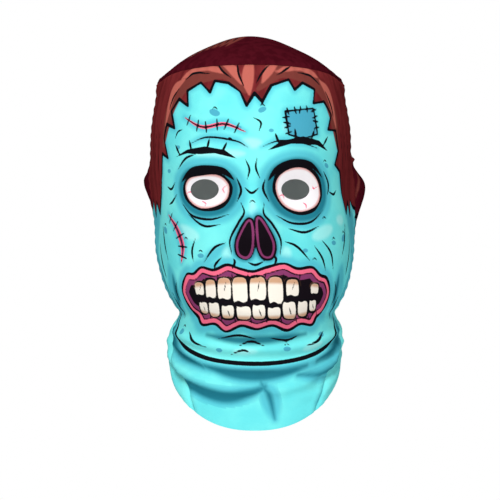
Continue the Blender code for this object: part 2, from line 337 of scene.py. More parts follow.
    def _down(self, drop: np.ndarray, middle: float, up: float, down: float) -> np.ndarray:
        """The hill of a swelling along the drop, from shares of the whole drop."""
        whole = self.mask_drop
        return hill(drop - middle * whole, up * whole, down * whole)

    def _hang_swags(self, points: np.ndarray, drop: np.ndarray, angle: np.ndarray) -> None:
        """Raises the folds round the throat, in place."""
        fade = np.clip(1 - (np.abs(angle) / self.swag_reach) ** 4, 0, 1)
        for swag in SWAGS:
            sweep = np.cos(np.clip(angle, -math.pi / 2, math.pi / 2)) ** self.swag_sharpness
            middle = swag.side_drop + (swag.front_drop - swag.side_drop) * sweep
            wide = swag.wide * self.mask_drop
            rise = swag.height * self.half_length * fade
            rise = rise * hill(drop - middle * self.mask_drop, wide, wide)
            points[..., 0] += rise * np.sin(angle)
            points[..., 1] -= rise * np.cos(angle)


@dataclass
class ArcChart:
    """Arc lengths along the cloth at each drop, from the middle of the front."""

    form: HoodForm
    turns: int = 361
    levels: int = 240
    arcs: np.ndarray = field(init=False)

    def __post_init__(self) -> None:
        """Measures the arcs over a table of angles and drops."""
        angle, drop = np.meshgrid(
            np.linspace(0, math.pi, self.turns), np.linspace(0, self.form.mask_drop, self.levels)
        )
        points, _ = self.form.plain(angle, self.form.travel_at(drop))
        steps = np.linalg.norm(np.diff(points, axis=1), axis=2)
        self.arcs = np.hstack([np.zeros((self.levels, 1)), np.cumsum(steps, axis=1)])

    def arc(self, angle: np.ndarray, drop: np.ndarray) -> np.ndarray:
        """Arc length at an angle and a drop, with the sign of the angle."""
        column = np.clip(np.abs(angle) / math.pi, 0, 1) * (self.turns - 1)
        row = np.clip(drop / self.form.mask_drop, 0, 1) * (self.levels - 1)
        left = np.minimum(column.astype(int), self.turns - 2)
        upper = np.minimum(row.astype(int), self.levels - 2)
        across, down = column - left, row - upper
        top = self.arcs[upper, left] * (1 - across) + self.arcs[upper, left + 1] * across
        low = self.arcs[upper + 1, left] * (1 - across) + self.arcs[upper + 1, left + 1] * across
        return np.sign(angle) * (top * (1 - down) + low * down)

    def angle(self, arc: np.ndarray, drop: float) -> np.ndarray:
        """Angle at an arc length, at one drop."""
        row = self.arcs[int(round(drop / self.form.mask_drop * (self.levels - 1)))]
        turned = np.interp(np.abs(arc), row, np.linspace(0, math.pi, self.turns))
        return np.sign(arc) * turned


class Crease(NamedTuple):
    """A fold over the panels: its run as arcs and drops, its height and its two widths."""

    run: Points
    height: float
    above: float
    below: float


CREASES = (
    Crease(((-118, 216), (-96, 240), (-68, 258), (-40, 268)), -2.4, 3.4, 4.4),
    Crease(((-112, 226), (-92, 251), (-64, 269), (-34, 279), (-8, 281)), 2.2, 4.2, 3.2),
    Crease(((-86, 264), (-58, 283), (-26, 292), (0, 288), (10, 280)), -2.2, 3.4, 4.6),
    Crease(((-104, 238), (-92, 262), (-74, 281), (-56, 294)), 1.3, 3.2, 2.6),
    Crease(((120, 212), (98, 235), (72, 254), (48, 263)), -2.4, 3.4, 4.4),
    Crease(((114, 224), (92, 247), (64, 263), (38, 268), (14, 270)), 2.2, 4.2, 3.2),
    Crease(((106, 240), (84, 262), (56, 275), (32, 276)), -2.0, 3.4, 4.4),
    Crease(((98, 254), (76, 275), (52, 288), (28, 290)), 1.4, 4.2, 3.0),
    Crease(((2, 272), (11, 288), (16, 308)), -1.4, 3.6, 5.0),
    Crease(((-128, 150), (-108, 176), (-92, 204), (-84, 228)), 0.9, 4.5, 4.5),
    Crease(((130, 156), (110, 180), (94, 206), (86, 228)), 1.0, 4.5, 4.5),
    Crease(((-34, 166), (-52, 182), (-64, 204), (-66, 226)), 0.35, 3.6, 3.6),
    Crease(((34, 166), (52, 182), (64, 204), (66, 226)), 0.35, 3.6, 3.6),
    Crease(((-150, 206), (-190, 214), (-230, 212)), 1.3, 3.2, 3.2),
    Crease(((150, 206), (190, 216), (236, 214)), 1.3, 3.2, 3.2),
    Crease(((-236, 222), (-200, 228), (-150, 232)), 1.6, 3.0, 2.6),
    Crease(((236, 224), (196, 230), (148, 234)), 1.5, 3.0, 2.6),
    Crease(((-140, 112), (-170, 96), (-205, 90)), 0.8, 5.0, 5.0),
    Crease(((142, 110), (172, 92), (208, 88)), 0.9, 5.0, 5.0),
)


@dataclass
class Drapery:
    """Fine relief of the cloth: creases, the sunk seam, its puckers and the sewn hem."""

    form: HoodForm
    chart: ArcChart
    seam_depth: float = 0.95
    seam_width: float = 1.35
    pucker: float = 0.32
    pucker_pitch: float = 7.5
    pucker_reach: float = 9.0
    nub_drop: float = 100.0
    nub_height: float = 4.2
    nub_tall: float = 2.6
    nub_wide: float = 2.8
    ridge: float = 0.45
    ridge_distance: float = 4.2
    ridge_width: float = 2.4
    unevenness: float = 0.22
    hem_depth: float = 9.0
    hem_rise: float = 0.28
    hem_step: float = 0.5
    hem_sink: float = 0.35
    hem_edge: float = 0.9
    seam: np.ndarray = field(init=False)
    seam_run: np.ndarray = field(init=False)

    def __post_init__(self) -> None:
        """Walks the seam once round, from hem to hem over the forehead."""
        end_drop, _ = self.form.seam_end()
        drop = np.linspace(end_drop, self.form.corner_drop, 300)
        side = self.form.seam_angle(drop)
        over = np.linspace(1, -1, 220)[1:-1] * side[-1]
        angle = np.concatenate([side, over, -side[::-1]])
        drops = np.concatenate([drop, self.form.crown_seam_drop(over), drop[::-1]])
        self.seam = self.form.points(angle, self.form.travel_at(drops))
        steps = np.linalg.norm(np.diff(self.seam, axis=0), axis=1)
        self.seam_run = np.concatenate([[0], np.cumsum(steps)])

    def seam_distance(self, points: np.ndarray) -> tuple[np.ndarray, np.ndarray]:
        """Distance of points to the seam, and how far along the seam its nearest point lies."""
        flat = points.reshape(-1, 3).astype(np.float32)
        seam = self.seam.astype(np.float32)
        distance = np.empty(len(flat), dtype=np.float32)
        nearest = np.empty(len(flat), dtype=int)
        square = (seam**2).sum(1)
        for start in range(0, len(flat), 8192):
            part = flat[start : start + 8192]
            apart = (part**2).sum(1)[:, None] - 2 * part @ seam.T + square
            nearest[start : start + 8192] = apart.argmin(1)
            distance[start : start + 8192] = np.sqrt(np.maximum(apart.min(1), 0))
        shape = points.shape[:-1]
        return distance.reshape(shape), self.seam_run[nearest].reshape(shape)

    def height(self, points: np.ndarray, angle: np.ndarray, drop: np.ndarray) -> np.ndarray:
        """Height of the fine relief over the cloth.

        Args:
            points: Points of the cloth without it.
            angle: Their angles from the front.
            drop: Their drops.

        Returns:
            Heights in millimetres, outwards positive.
        """
        arc = self.chart.arc(angle, drop)
        spots = np.column_stack([arc.ravel(), drop.ravel()])
        height = np.zeros(len(spots))
        for crease in CREASES:
            run = smooth_path(np.array(crease.run, dtype=float), 8)
            apart, side, along = nearest_on_path(spots, run, 3 * (crease.above + crease.below))
            wide = np.where(side > 0, crease.above, crease.below)
            fade = np.sin(np.clip(along, 0, 1) * math.pi) ** 0.6
            height += crease.height * np.exp(-((apart / wide) ** 2)) * fade
        height = height.reshape(arc.shape)
        sway = np.sin(arc / 17 + 1.3 * np.sin(drop / 23)) * np.sin(drop / 19 + arc / 41)
        height += self.unevenness * sway
        distance, run = self.seam_distance(points)
        fade = np.exp(-((distance / self.pucker_reach) ** 2))
        ripple = np.sin(run * 2 * math.pi / self.pucker_pitch + 1.7 * np.sin(run / 31))
        height += self.pucker * ripple * fade * np.clip(distance / 2.5, 0, 1)
        beside = (distance - self.ridge_distance) / self.ridge_width
        height += self.ridge * np.exp(-(beside**2))
        nub = np.exp(-(((drop - self.nub_drop) / self.nub_tall) ** 2))
        nub *= np.exp(-((distance / self.nub_wide) ** 2))
        height += self.nub_height * nub * (angle > 0)
        height -= self.seam_depth * np.exp(-((distance / self.seam_width) ** 2))
        hem = self.form.hem_drop(angle) - drop
        height += self.hem_rise / (1 + np.exp((hem - self.hem_depth) / self.hem_step))
        height -= self.hem_sink * np.exp(-((hem / self.hem_edge) ** 2))
        return height


def nearest_on_path(
    spots: np.ndarray, path: np.ndarray, reach: float
) -> tuple[np.ndarray, np.ndarray, np.ndarray]:
    """Finds the nearest place on a path for each spot near it.

    Args:
        spots: Rows of two numbers.
        path: The path's points.
        reach: Spots further than this from the path's box are left at that distance.

    Returns:
        Distances, the side of the path (positive to its left) and the share of the way along.
    """
    apart = np.full(len(spots), float(reach))
    side = np.ones(len(spots))
    along = np.zeros(len(spots))
    low, high = path.min(0) - reach, path.max(0) + reach
    near = np.flatnonzero(((spots > low) & (spots < high)).all(1))
    if not len(near):
        return apart, side, along
    part = spots[near]
    best = np.full(len(near), float(reach))
    best_side = np.ones(len(near))
    best_along = np.zeros(len(near))
    count = len(path) - 1
    for index, (start, end) in enumerate(zip(path, path[1:])):
        step = end - start
        share = np.clip(((part - start) @ step) / max(step @ step, 1e-9), 0, 1)
        offset = part - start - share[:, None] * step
        distance = np.hypot(offset[:, 0], offset[:, 1])
        closer = distance < best
        best[closer] = distance[closer]
        cross = step[0] * offset[:, 1] - step[1] * offset[:, 0]
        best_side[closer] = np.where(cross[closer] < 0, 1.0, -1.0)
        best_along[closer] = (index + share[closer]) / count
    apart[near], side[near], along[near] = best, best_side, best_along
    return apart, side, along


@dataclass(frozen=True)
class Line:
    """A drawn line that swells from its ends to its middle."""

    points: Points
    middle: float = 0.9
    ends: float = 0.35
    smooth: bool = True

    def distance(self, spots: np.ndarray) -> np.ndarray:
        """Distance of spots to the line's edge, negative inside it."""
        path = np.array(self.points, dtype=float)
        if self.smooth and len(path) > 2:
            path = smooth_path(path, 8)
        apart, _, along = nearest_on_path(spots, path, FAR)
        width = self.ends + (self.middle - self.ends) * np.sin(np.clip(along, 0, 1) * math.pi)
        return np.where(apart >= FAR, FAR, apart - width)


@dataclass(frozen=True)
class Patch:
    """A filled shape with a smooth or a cornered outline."""

    points: Points
    smooth: bool = True
    reach: float = FAR

    def distance(self, spots: np.ndarray) -> np.ndarray:
        """Distance of spots to the outline, negative inside it."""
        path = np.array(self.points, dtype=float)
        path = smooth_path(path, 7, closed=True) if self.smooth else path
        path = np.vstack([path, path[0]])
        apart, _, _ = nearest_on_path(spots, path, self.reach)
        low, high = path.min(0), path.max(0)
        near = np.flatnonzero(((spots >= low) & (spots <= high)).all(1))
        inside = np.zeros(len(near), dtype=bool)
        across, down = spots[near].T
        for (x0, y0), (x1, y1) in zip(path, path[1:]):
            crosses = (y0 > down) != (y1 > down)
            if y0 != y1:
                inside ^= crosses & (across < x0 + (down - y0) * (x1 - x0) / (y1 - y0))
        apart[near[inside]] *= -1
        return apart


def oval(
    across: float, down: float, wide: float, tall: float, turn: float = 0.0, square: float = 2.0
) -> Patch:
    """A filled oval, squarer when square is above two, turned by degrees."""
    angle = np.linspace(0, 2 * math.pi, 18, endpoint=False)
    x = wide * rounded(np.cos(angle), square)
    y = tall * rounded(np.sin(angle), square)
    cos, sin = math.cos(math.radians(turn)), math.sin(math.radians(turn))
    return Patch(tuple(zip(across + x * cos - y * sin, down + x * sin + y * cos)))


def mirrored(points: Points) -> Points:
    """The same points on the other half of the face."""
    return tuple((-across, down) for across, down in points)


def union(spots: np.ndarray, shapes: Iterable[Line | Patch]) -> np.ndarray:
    """Distance of spots to the nearest of several shapes."""
    best = np.full(len(spots), FAR)
    for shape in shapes:
        np.minimum(best, shape.distance(spots), out=best)
    return best


class Ink(Enum):
    """Colours of the print, in the order in which they are laid over each other."""

    GLOW = "glow"
    SHADE = "shade"
    # Deep shade: the print's own, and painted shade along the cloth's folds at the neck.
    DEEP_SHADE = "deep"
    BLOTCH = "blotch"
    RIM = "rim"
    EYE = "eye"
    LIP = "lip"
    GUM = "gum"
    DARK = "dark"
    TOOTH = "tooth"
    # Painted shade on the teeth next to the gums, as the print shades them.
    TOOTH_SHADE = "stain"
    HAIR = "hair"
    HAIR_MID = "hair_mid"
    HAIR_LIGHT = "hair_light"
    LINE = "line"


@dataclass(frozen=True)
class Grown:
    """A shape pushed out, or drawn in when by is negative."""

    shape: Patch
    by: float

    def distance(self, spots: np.ndarray) -> np.ndarray:
        """Distance of spots to the moved outline, negative inside it."""
        wide = Patch(self.shape.points, self.shape.smooth, abs(self.by) + FAR)
        return np.clip(wide.distance(spots) - self.by, -FAR, FAR)


@dataclass(frozen=True)
class Outline:
    """A drawn edge round shapes, a little uneven as a brush leaves it."""

    shapes: tuple[Patch | Grown, ...]
    half: float = 0.95

    def distance(self, spots: np.ndarray) -> np.ndarray:
        """Distance of spots to the drawn edge, negative inside it."""
        across, down = spots.T
        uneven = 1 + 0.32 * np.sin(across / 5.3 + 0.8 * np.sin(down / 4.1)) * np.sin(down / 6.7)
        return np.abs(union(spots, self.shapes)) - self.half * uneven


@dataclass(frozen=True)
class Both:
    """The part that two shapes share."""

    first: Patch | Grown
    second: Patch | Grown

    def distance(self, spots: np.ndarray) -> np.ndarray:
        """Distance of spots to the shared part, negative inside it."""
        return np.maximum(self.first.distance(spots), self.second.distance(spots))


Shape = Line | Patch | Grown | Outline | Both
Art = dict[Ink, tuple[Shape, ...]]


def tooth(middle: float, wide: float, root: float, edge: float) -> Patch:
    """A worn tooth, from its root to its biting edge."""
    half = wide / 2
    tall = edge - root
    return Patch(
        (
            (middle - half * 0.78, root),
            (middle, root - tall * 0.10),
            (middle + half * 0.78, root),
            (middle + half * 1.02, root + tall * 0.45),
            (middle + half * 0.90, edge - tall * 0.08),
            (middle + half * 0.30, edge + tall * 0.02),
            (middle - half * 0.25, edge - tall * 0.05),
            (middle - half * 0.86, edge - tall * 0.02),
            (middle - half * 1.00, root + tall * 0.42),
        )
    )


def strokes(runs: Iterable[Points], middle: float = 0.8, ends: float = 0.25) -> tuple[Line, ...]:
    """Several lines of the same swelling."""
    return tuple(Line(run, middle, ends) for run in runs)


def stitches(run: Points, count: int, reach: float) -> tuple[Line, ...]:
    """Short lines across a run, as in a sewn cut."""
    path = smooth_path(np.array(run, dtype=float), 12)
    made = []
    for share in np.linspace(0.1, 0.9, count):
        index = int(share * (len(path) - 2))
        step = unit(path[index + 1] - path[index])
        across = np.array([-step[1], step[0]]) * reach + step * 0.8 * math.sin(7 * share)
        made.append(Line((tuple(path[index] - across), tuple(path[index] + across)), 0.75, 0.55))
    return tuple(made)


@dataclass
class FacePrint:
    """The picture on the face panel: a zombie's face with pale eyes and bad teeth.

    Every place is an arc from the middle of the front and a drop, in millimetres.
    """

    eye_middle: float = 36.4
    eye_drop: float = 127.0

    def art(self) -> Art:
        """All shapes of the print, by ink."""
        parts = (
            self.hair(),
            self.forehead(),
            self.eyes(),
            self.nose(),
            self.mouth(),
            self.cheeks(),
            self.jaw(),
            self.blotches(),
        )
        return {ink: tuple(s for part in parts for s in part.get(ink, ())) for ink in Ink}

    def hair(self) -> Art:
        """Short hair combed back from a ragged hairline and down both sides."""
        left = (
            (-136, 139), (-124, 133), (-112, 147), (-105, 135), (-97, 145), (-90, 129), (-86, 114),
            (-84, 98), (-75, 102), (-81, 86), (-77, 75), (-66, 79), (-71, 65), (-62, 56),
            (-52, 62), (-53, 50), (-40, 44), (-32, 52), (-28, 43), (-17, 45), (-8, 52), (-3, 63),
        )
        right = (
            (3, 53), (9, 60), (16, 47), (30, 42), (35, 50), (42, 44), (54, 49), (52, 60), (64, 58),
            (73, 68), (68, 80), (79, 80), (84, 96), (78, 107), (87, 112), (90, 129), (97, 145),
            (105, 135), (112, 147), (124, 133), (136, 139),
        )
        ends = ((160, 10), (160, 134), (148, 142)), ((-146, 142), (-160, 136), (-160, 10))
        base = Patch((*ends[0], *right[::-1], *left[::-1], *ends[1]), smooth=False)
        brown = (
            ((-4, 52), (-20, 36), (-50, 42)),
            ((6, 50), (24, 35), (54, 42)),
            ((-26, 40), (-52, 42), (-73, 64)),
            ((28, 38), (54, 42), (75, 66)),
            ((-54, 46), (-72, 62), (-82, 92)),
            ((56, 46), (73, 62), (83, 94)),
        )
        pale = (
            ((-1, 54), (-2, 40), (1, 22)),
            ((-7, 46), (-14, 34), (-26, 24)),
            ((9, 45), (15, 34), (24, 24)),
            ((-20, 37), (-38, 31), (-60, 40)),
            ((20, 36), (40, 31), (58, 39)),
            ((-56, 40), (-70, 50), (-79, 76)),
            ((60, 41), (71, 52), (80, 78)),
        )
        strands = (
            ((-5, 48), (-9, 38), (-10, 29)),
            ((4, 46), (9, 37), (16, 29)),
            ((-15, 41), (-22, 35), (-26, 28)),
            ((20, 39), (28, 34), (34, 29)),
            ((-32, 37), (-46, 36), (-56, 41)),
            ((38, 36), (50, 38), (60, 45)),
            ((-62, 47), (-70, 55), (-75, 66)),
            ((66, 49), (73, 60), (77, 72)),
        )
        temples = [
            (
                (side * (86 + 9 * n), 70 + 5 * n),
                (side * (92 + 9 * n), 98),
                (side * (93 + 10 * n), 124),
            )
            for side in (-1, 1)
            for n in range(4)
        ]
        return {
            Ink.SHADE: (Grown(base, 3.0),),
            Ink.HAIR: (base,),
            Ink.HAIR_MID: strokes(brown, 6.0, 1.6),
            Ink.HAIR_LIGHT: (Line(pale[0], 4.6, 1.0), *strokes(pale[1:], 3.6, 0.6)),
            Ink.LINE: (
                Outline((base,), 1.05),
                *strokes(strands, 0.9, 0.3),
                *strokes(temples, 0.6, 0.2),
            ),
        }

    def forehead(self) -> Art:
        """Furrows, a sewn scar and a square patch of other skin."""
        scar = ((-55, 71), (-38, 79), (-20, 77), (-4, 83))
        patch = Patch(((27, 67), (52, 64), (56, 84), (42, 88), (30, 85)), smooth=False)
        furrows = (
            ((-50, 92), (-34, 87), (-12, 90), (-2, 95)),
            ((8, 95), (22, 90), (40, 91), (56, 95)),
            ((-66, 88), (-62, 82), (-56, 80)),
            ((-4, 104), (-1, 112), (-3, 120)),
            ((5, 103), (4, 111), (7, 119)),
            ((2, 72), (8, 76), (6, 84)),
        )
        sewn = (((27, 67), (52, 64)), ((52, 64), (56, 84)), ((30, 85), (27, 67)))
        return {
            Ink.SHADE: (Line(scar, 4.5, 2.0), Grown(patch, 2.5), *strokes(furrows[:2], 3.6, 1.0)),
            Ink.GLOW: (oval(-24, 100, 20, 3.5), oval(34, 79, 9, 6), oval(0, 92, 9, 4)),
            Ink.BLOTCH: (patch,),
            Ink.LIP: (Line(scar, 1.6, 0.4),),
            Ink.LINE: (
                *strokes(furrows, 0.8, 0.2),
                Line(scar, 0.7, 0.3),
                *stitches(scar, 6, 4.2),
                Outline((patch,), 0.7),
                *(each for run in sewn for each in stitches((run[0], run[1]), 4, 2.6)),
            ),
        }

    def eyes(self) -> Art:
        """One half-shut and one staring eye, in dark sockets under ragged brows."""
        at_left = -self.eye_middle
        at_right = self.eye_middle
        drop = self.eye_drop
        left = Patch(
            tuple(
                (at_left + across, drop + down)
                for across, down in (
                    (-20, -2), (-14, -10), (0, -12.5), (13, -11), (20.5, -3), (18, 8), (8, 14.5),
                    (-6, 15), (-17, 8),
                )
            )
        )
        right = Patch(
            tuple(
                (at_right + across, drop + down)
                for across, down in (
                    (-19, 0), (-15, -12), (-3, -17.5), (10, -16.5), (20, -8), (22, 5), (14, 15),
                    (0, 18.5), (-13, 13),
                )
            )
        )
        lids = (
            Patch(
                (
                    (-60, 122), (-50, 111), (-36, 108.5), (-20, 111), (-13, 120), (-22, 115.5),
                    (-36, 114.5), (-50, 116),
                ),
            ),
            Patch(
                (
                    (13, 121), (19, 110), (33, 104), (50, 106), (61, 118), (50, 110.5), (34, 108.5),
                    (22, 113),
                ),
            ),
        )
        brows = (
            Patch(
                (
                    (-66, 102), (-52, 96), (-36, 94), (-20, 97), (-10, 104), (-28, 99.5),
                    (-40, 100), (-52, 99),
                ),
                smooth=False,
            ),
            Patch(
                (
                    (12, 98), (24, 90), (42, 86), (58, 89), (68, 97), (55, 92.5), (44, 92),
                    (32, 92),
                ),
                smooth=False,
            ),
        )
        folds = (
            ((-60, 137), (-50, 147), (-34, 150), (-18, 146)),
            ((-54, 146), (-40, 155), (-26, 154)),
            ((-63, 112), (-54, 103), (-44, 100)),
            ((17, 147), (30, 153), (46, 152), (60, 142)),
            ((26, 157), (40, 160), (54, 155)),
            ((62, 112), (68, 122), (66, 132)),
            ((-66, 120), (-72, 126), (-78, 124)),
            ((-65, 130), (-72, 136), (-77, 138)),
            ((68, 128), (75, 130), (80, 126)),
            ((-11, 118), (-8, 128), (-12, 137)),
            ((11, 119), (9, 127), (13, 137)),
        )
        veins = (
            ((-55, 130), (-50, 128.5), (-48, 131)),
            ((-19, 124), (-22, 126.5), (-21, 130)),
            ((56, 124), (51, 126), (50, 123)),
            ((20, 133), (24, 131), (25, 135)),
            ((42, 143), (43, 139), (40, 137)),
            ((-38, 140), (-37, 137.5), (-40, 136)),
        )
        hairs = [
            ((across, down), (across + lean, down - 8))
            for across, down, lean in (
                (-60, 100, -5),
                (-48, 97, -2),
                (-34, 96, 2),
                (-22, 99, 4),
                (22, 92, -3),
                (36, 88, -1),
                (50, 88, 3),
                (62, 93, 6),
            )
        ]
        return {
            Ink.SHADE: (Grown(left, 12.5), Grown(right, 12.5)),
            Ink.DEEP_SHADE: (Grown(left, 6.0), Grown(right, 6.5)),
            Ink.RIM: (Grown(left, 0.8), Grown(right, 0.8)),
            Ink.EYE: (Grown(left, -2.4), Grown(right, -2.4)),
            Ink.LIP: strokes(veins, 0.55, 0.3),
            Ink.LINE: (
                Outline((left, right), 1.35),
                *lids,
                *brows,
                *strokes(folds, 1.0, 0.25),
                *strokes(hairs, 1.0, 0.3),
            ),
        }

    def nose(self) -> Art:
        """A bare bony nose with two open hollows."""
        left = Patch(
            (
                (-3, 152), (-8, 158), (-12.5, 168), (-12, 176), (-7, 178.5), (-3.5, 174), (-2, 164),
            ),
        )
        right = Patch(
            (
                (3.5, 150), (9, 158), (13.5, 169), (12, 177.5), (7, 178), (4, 172), (3, 162),
            ),
        )
        lines = (
            ((-9, 137), (-7, 145), (-12, 153), (-19, 166), (-18, 177)),
            ((9, 137), (8, 146), (14, 154), (20, 166), (19, 178)),
            ((-22, 168), (-32, 172), (-42, 184)),
            ((23, 167), (33, 171), (44, 182)),
            ((-5, 126), (0, 130), (6, 126)),
            ((-6, 183), (0, 185), (7, 182)),
            ((-26, 179), (-31, 184), (-33, 188)),
        )
        return {
            Ink.SHADE: (Grown(left, 7.0), Grown(right, 7.0), Line(((-24, 170), (-46, 188)), 5, 2)),
            Ink.GLOW: (oval(0, 146, 3, 11), oval(-22, 176, 4, 5), oval(24, 176, 4, 5)),
            Ink.DEEP_SHADE: (Grown(left, 3.8), Grown(right, 3.8)),
            Ink.GUM: (Grown(left, 2.2), Grown(right, 2.2)),
            Ink.DARK: (left, right),
            Ink.LINE: (
                *strokes(lines, 1.0, 0.25),
                Outline((Grown(left, 2.4), Grown(right, 2.4)), 0.7),
            ),
        }

    def mouth(self) -> Art:
        """A torn open mouth with two rows of gapped teeth."""
        lips = Patch(
            (
                (-68, 206), (-60, 193), (-52, 192), (-44, 187), (-33, 189), (-22, 185), (-12, 188),
                (-2, 190), (8, 187), (22, 184), (33, 188), (46, 187), (54, 193), (62, 196),
                (68, 208), (62, 221), (53, 226), (46, 232), (35, 231), (24, 236), (12, 232),
                (0, 235), (-12, 232), (-24, 237), (-34, 231), (-46, 232), (-53, 226), (-62, 220),
            )
        )
        upper = (
            (-47, 10, 199, 209),
            (-36.5, 10.5, 197, 211),
            (-25, 12, 196, 212),
            (-12.5, 13, 195.5, 214),
            (1, 14, 195, 212.5),
            (15, 13, 195.5, 215),
            (28.5, 12, 196.5, 209.5),
            (49, 9, 200, 208),
        )
        lower = (
            (-45, 9, 222.5, 213.5),
            (-34.5, 10.5, 224.5, 213.5),
            (-23, 11.5, 226, 215.5),
            (-10.5, 12, 226.5, 216.5),
            (1.5, 11, 226, 215),
            (13, 11.5, 226.5, 217),
            (25.5, 12, 226, 213),
            (37.5, 10.5, 224.5, 212.5),
            (47.5, 8.5, 221, 212),
        )
        teeth = tuple(tooth(*row) for row in upper + lower)
        roots = (
            Patch(((-60, 188), (60, 188), (60, 202), (30, 200), (0, 199), (-30, 200), (-60, 202))),
            Patch(
                (
                    (-60, 236), (60, 236), (60, 220), (30, 223.5), (0, 224.5), (-30, 223.5),
                    (-60, 220),
                ),
            ),
        )
        cracks = [
            ((middle + 1.5, root + (edge - root) * 0.15), (middle, root + (edge - root) * 0.6))
            for middle, _, root, edge in (upper + lower)[::2]
        ]
        gums = [
            ((middle + 6, root), (middle + 6.6, root - 4.0)) for middle, _, root, _ in upper
        ] + [((middle + 5.6, root), (middle + 6.2, root + 3.6)) for middle, _, root, _ in lower]
        around = (
            ((-74, 197), (-79, 206), (-76, 217)),
            ((74, 198), (80, 208), (76, 219)),
            ((-30, 243), (-14, 240), (0, 243)),
            ((10, 242), (24, 244), (34, 240)),
            ((-18, 188), (-16, 183), (-17, 180)),
            ((14, 186), (16, 181), (15, 178)),
        )
        return {
            Ink.SHADE: (Grown(lips, 6.5),),
            Ink.DEEP_SHADE: (Line(((-40, 240), (-14, 244), (14, 243), (40, 239)), 3.4, 1.0),),
            Ink.LIP: (lips,),
            Ink.GUM: (Grown(lips, -4.6),),
            Ink.DARK: (Grown(lips, -8.6),),
            Ink.TOOTH: teeth,
            # Painted shade: tan on the teeth where they meet the gums, as the print shades them.
            Ink.TOOTH_SHADE: tuple(Both(each, root) for root in roots for each in teeth),
            Ink.LINE: (
                Outline((lips,), 1.1),
                Outline((Grown(lips, -4.6),), 0.55),
                *(Outline((each,), 0.75) for each in teeth),
                *strokes(cracks, 0.5, 0.25),
                *strokes(gums, 0.5, 0.25),
                *strokes(around, 1.0, 0.25),
            ),
        }

    def cheeks(self) -> Art:
        """A sewn gash on one cheek, hollows and the lines round them."""
        gash = ((-79, 146), (-68, 157), (-62, 171), (-65, 184))
        lines = (
            ((-92, 152), (-88, 168), (-84, 182)),
            ((92, 150), (88, 166), (82, 180)),
            ((56, 166), (66, 176), (70, 190)),
            ((48, 170), (56, 180), (60, 190)),
            ((-48, 164), (-52, 174), (-51, 184)),
            ((-100, 165), (-98, 182), (-92, 198)),
            ((101, 160), (99, 180), (93, 198)),
            ((-88, 206), (-84, 218), (-76, 228)),
            ((88, 208), (84, 219), (76, 229)),
            ((-108, 176), (-107, 192), (-101, 206)),
            ((109, 172), (108, 190), (102, 206)),
        )
        shaded_hollows = (
            Patch(((-86, 186), (-78, 190), (-73, 204), (-76, 222), (-86, 226), (-94, 208))),
            Patch(((86, 186), (78, 190), (73, 204), (76, 224), (86, 228), (94, 208))),
        )
        sides = (
            Patch(
                (
                    (-98, 142), (-104, 168), (-100, 200), (-92, 224), (-112, 226), (-134, 196),
                    (-138, 150), (-120, 140),
                ),
            ),
            Patch(
                (
                    (98, 142), (104, 168), (100, 200), (92, 224), (112, 226), (134, 196),
                    (138, 150), (120, 140),
                ),
            ),
        )
        return {
            Ink.SHADE: (*shaded_hollows, *sides, Line(gash, 5.0, 2.0)),
            Ink.DEEP_SHADE: (
                Line(((-80, 194), (-80, 208), (-84, 220)), 3.6, 1.0),
                Line(((80, 194), (80, 208), (84, 220)), 3.6, 1.0),
            ),
            Ink.GLOW: (oval(-56, 160, 12, 5, 20), oval(58, 160, 12, 5, -20), oval(82, 150, 6, 4)),
            Ink.LIP: (Line(gash, 2.6, 0.5),),
            Ink.GUM: (Line(gash, 1.3, 0.2),),
            Ink.LINE: (
                Line(gash, 0.55, 0.3),
                *stitches(gash, 5, 5.0),
                *strokes(lines, 1.0, 0.2),
            ),
        }

    def jaw(self) -> Art:
        """The edge of the jaw and its chin, with painted shade under the jaw and along the cloth's
        folds at the neck, partly the print's own.
        """
        edge = (
            (-106, 198), (-94, 222), (-72, 244), (-44, 257), (-16, 262), (16, 262), (46, 256),
            (72, 243), (94, 221), (106, 198),
        )
        under = Patch(
            (
                *((across, down + 1) for across, down in edge[1:-1]),
                (84, 248), (56, 264), (20, 272), (-20, 273), (-58, 266), (-88, 248),
            )
        )
        lines = (
            ((-14, 249), (-4, 245), (8, 249)),
            ((-20, 256), (-10, 252), (-4, 254)),
            ((-60, 238), (-50, 246), (-38, 250)),
            ((60, 237), (50, 245), (38, 249)),
        )
        # Painted shade along the cloth's folds at the neck, following the creases of the relief;
        # partly the print's own shading.
        shaded_hollows = (
            ((-116, 208), (-96, 234), (-70, 254), (-42, 266)),
            ((-84, 262), (-56, 280), (-26, 289), (-4, 286), (8, 280)),
            ((116, 208), (96, 233), (72, 252), (50, 261)),
            ((-40, 265), (-14, 271), (14, 271), (40, 264)),
            ((104, 236), (84, 258), (56, 271), (34, 272)),
            ((4, 276), (12, 290), (16, 306)),
            ((92, 262), (72, 280), (54, 294)),
            ((-104, 232), (-92, 254), (-76, 274)),
        )
        return {
            Ink.SHADE: (under, *strokes(shaded_hollows, 8.5, 3.0)),
            Ink.DEEP_SHADE: (*strokes(shaded_hollows[:4], 4.6, 1.0), *strokes(shaded_hollows[4:], 2.0, 0.4)),
            Ink.GLOW: (oval(-8, 253, 9, 2.5), oval(46, 249, 9, 2.6, -16)),
            Ink.LINE: (Line(edge, 1.7, 0.5), *strokes(lines, 1.0, 0.25)),
        }

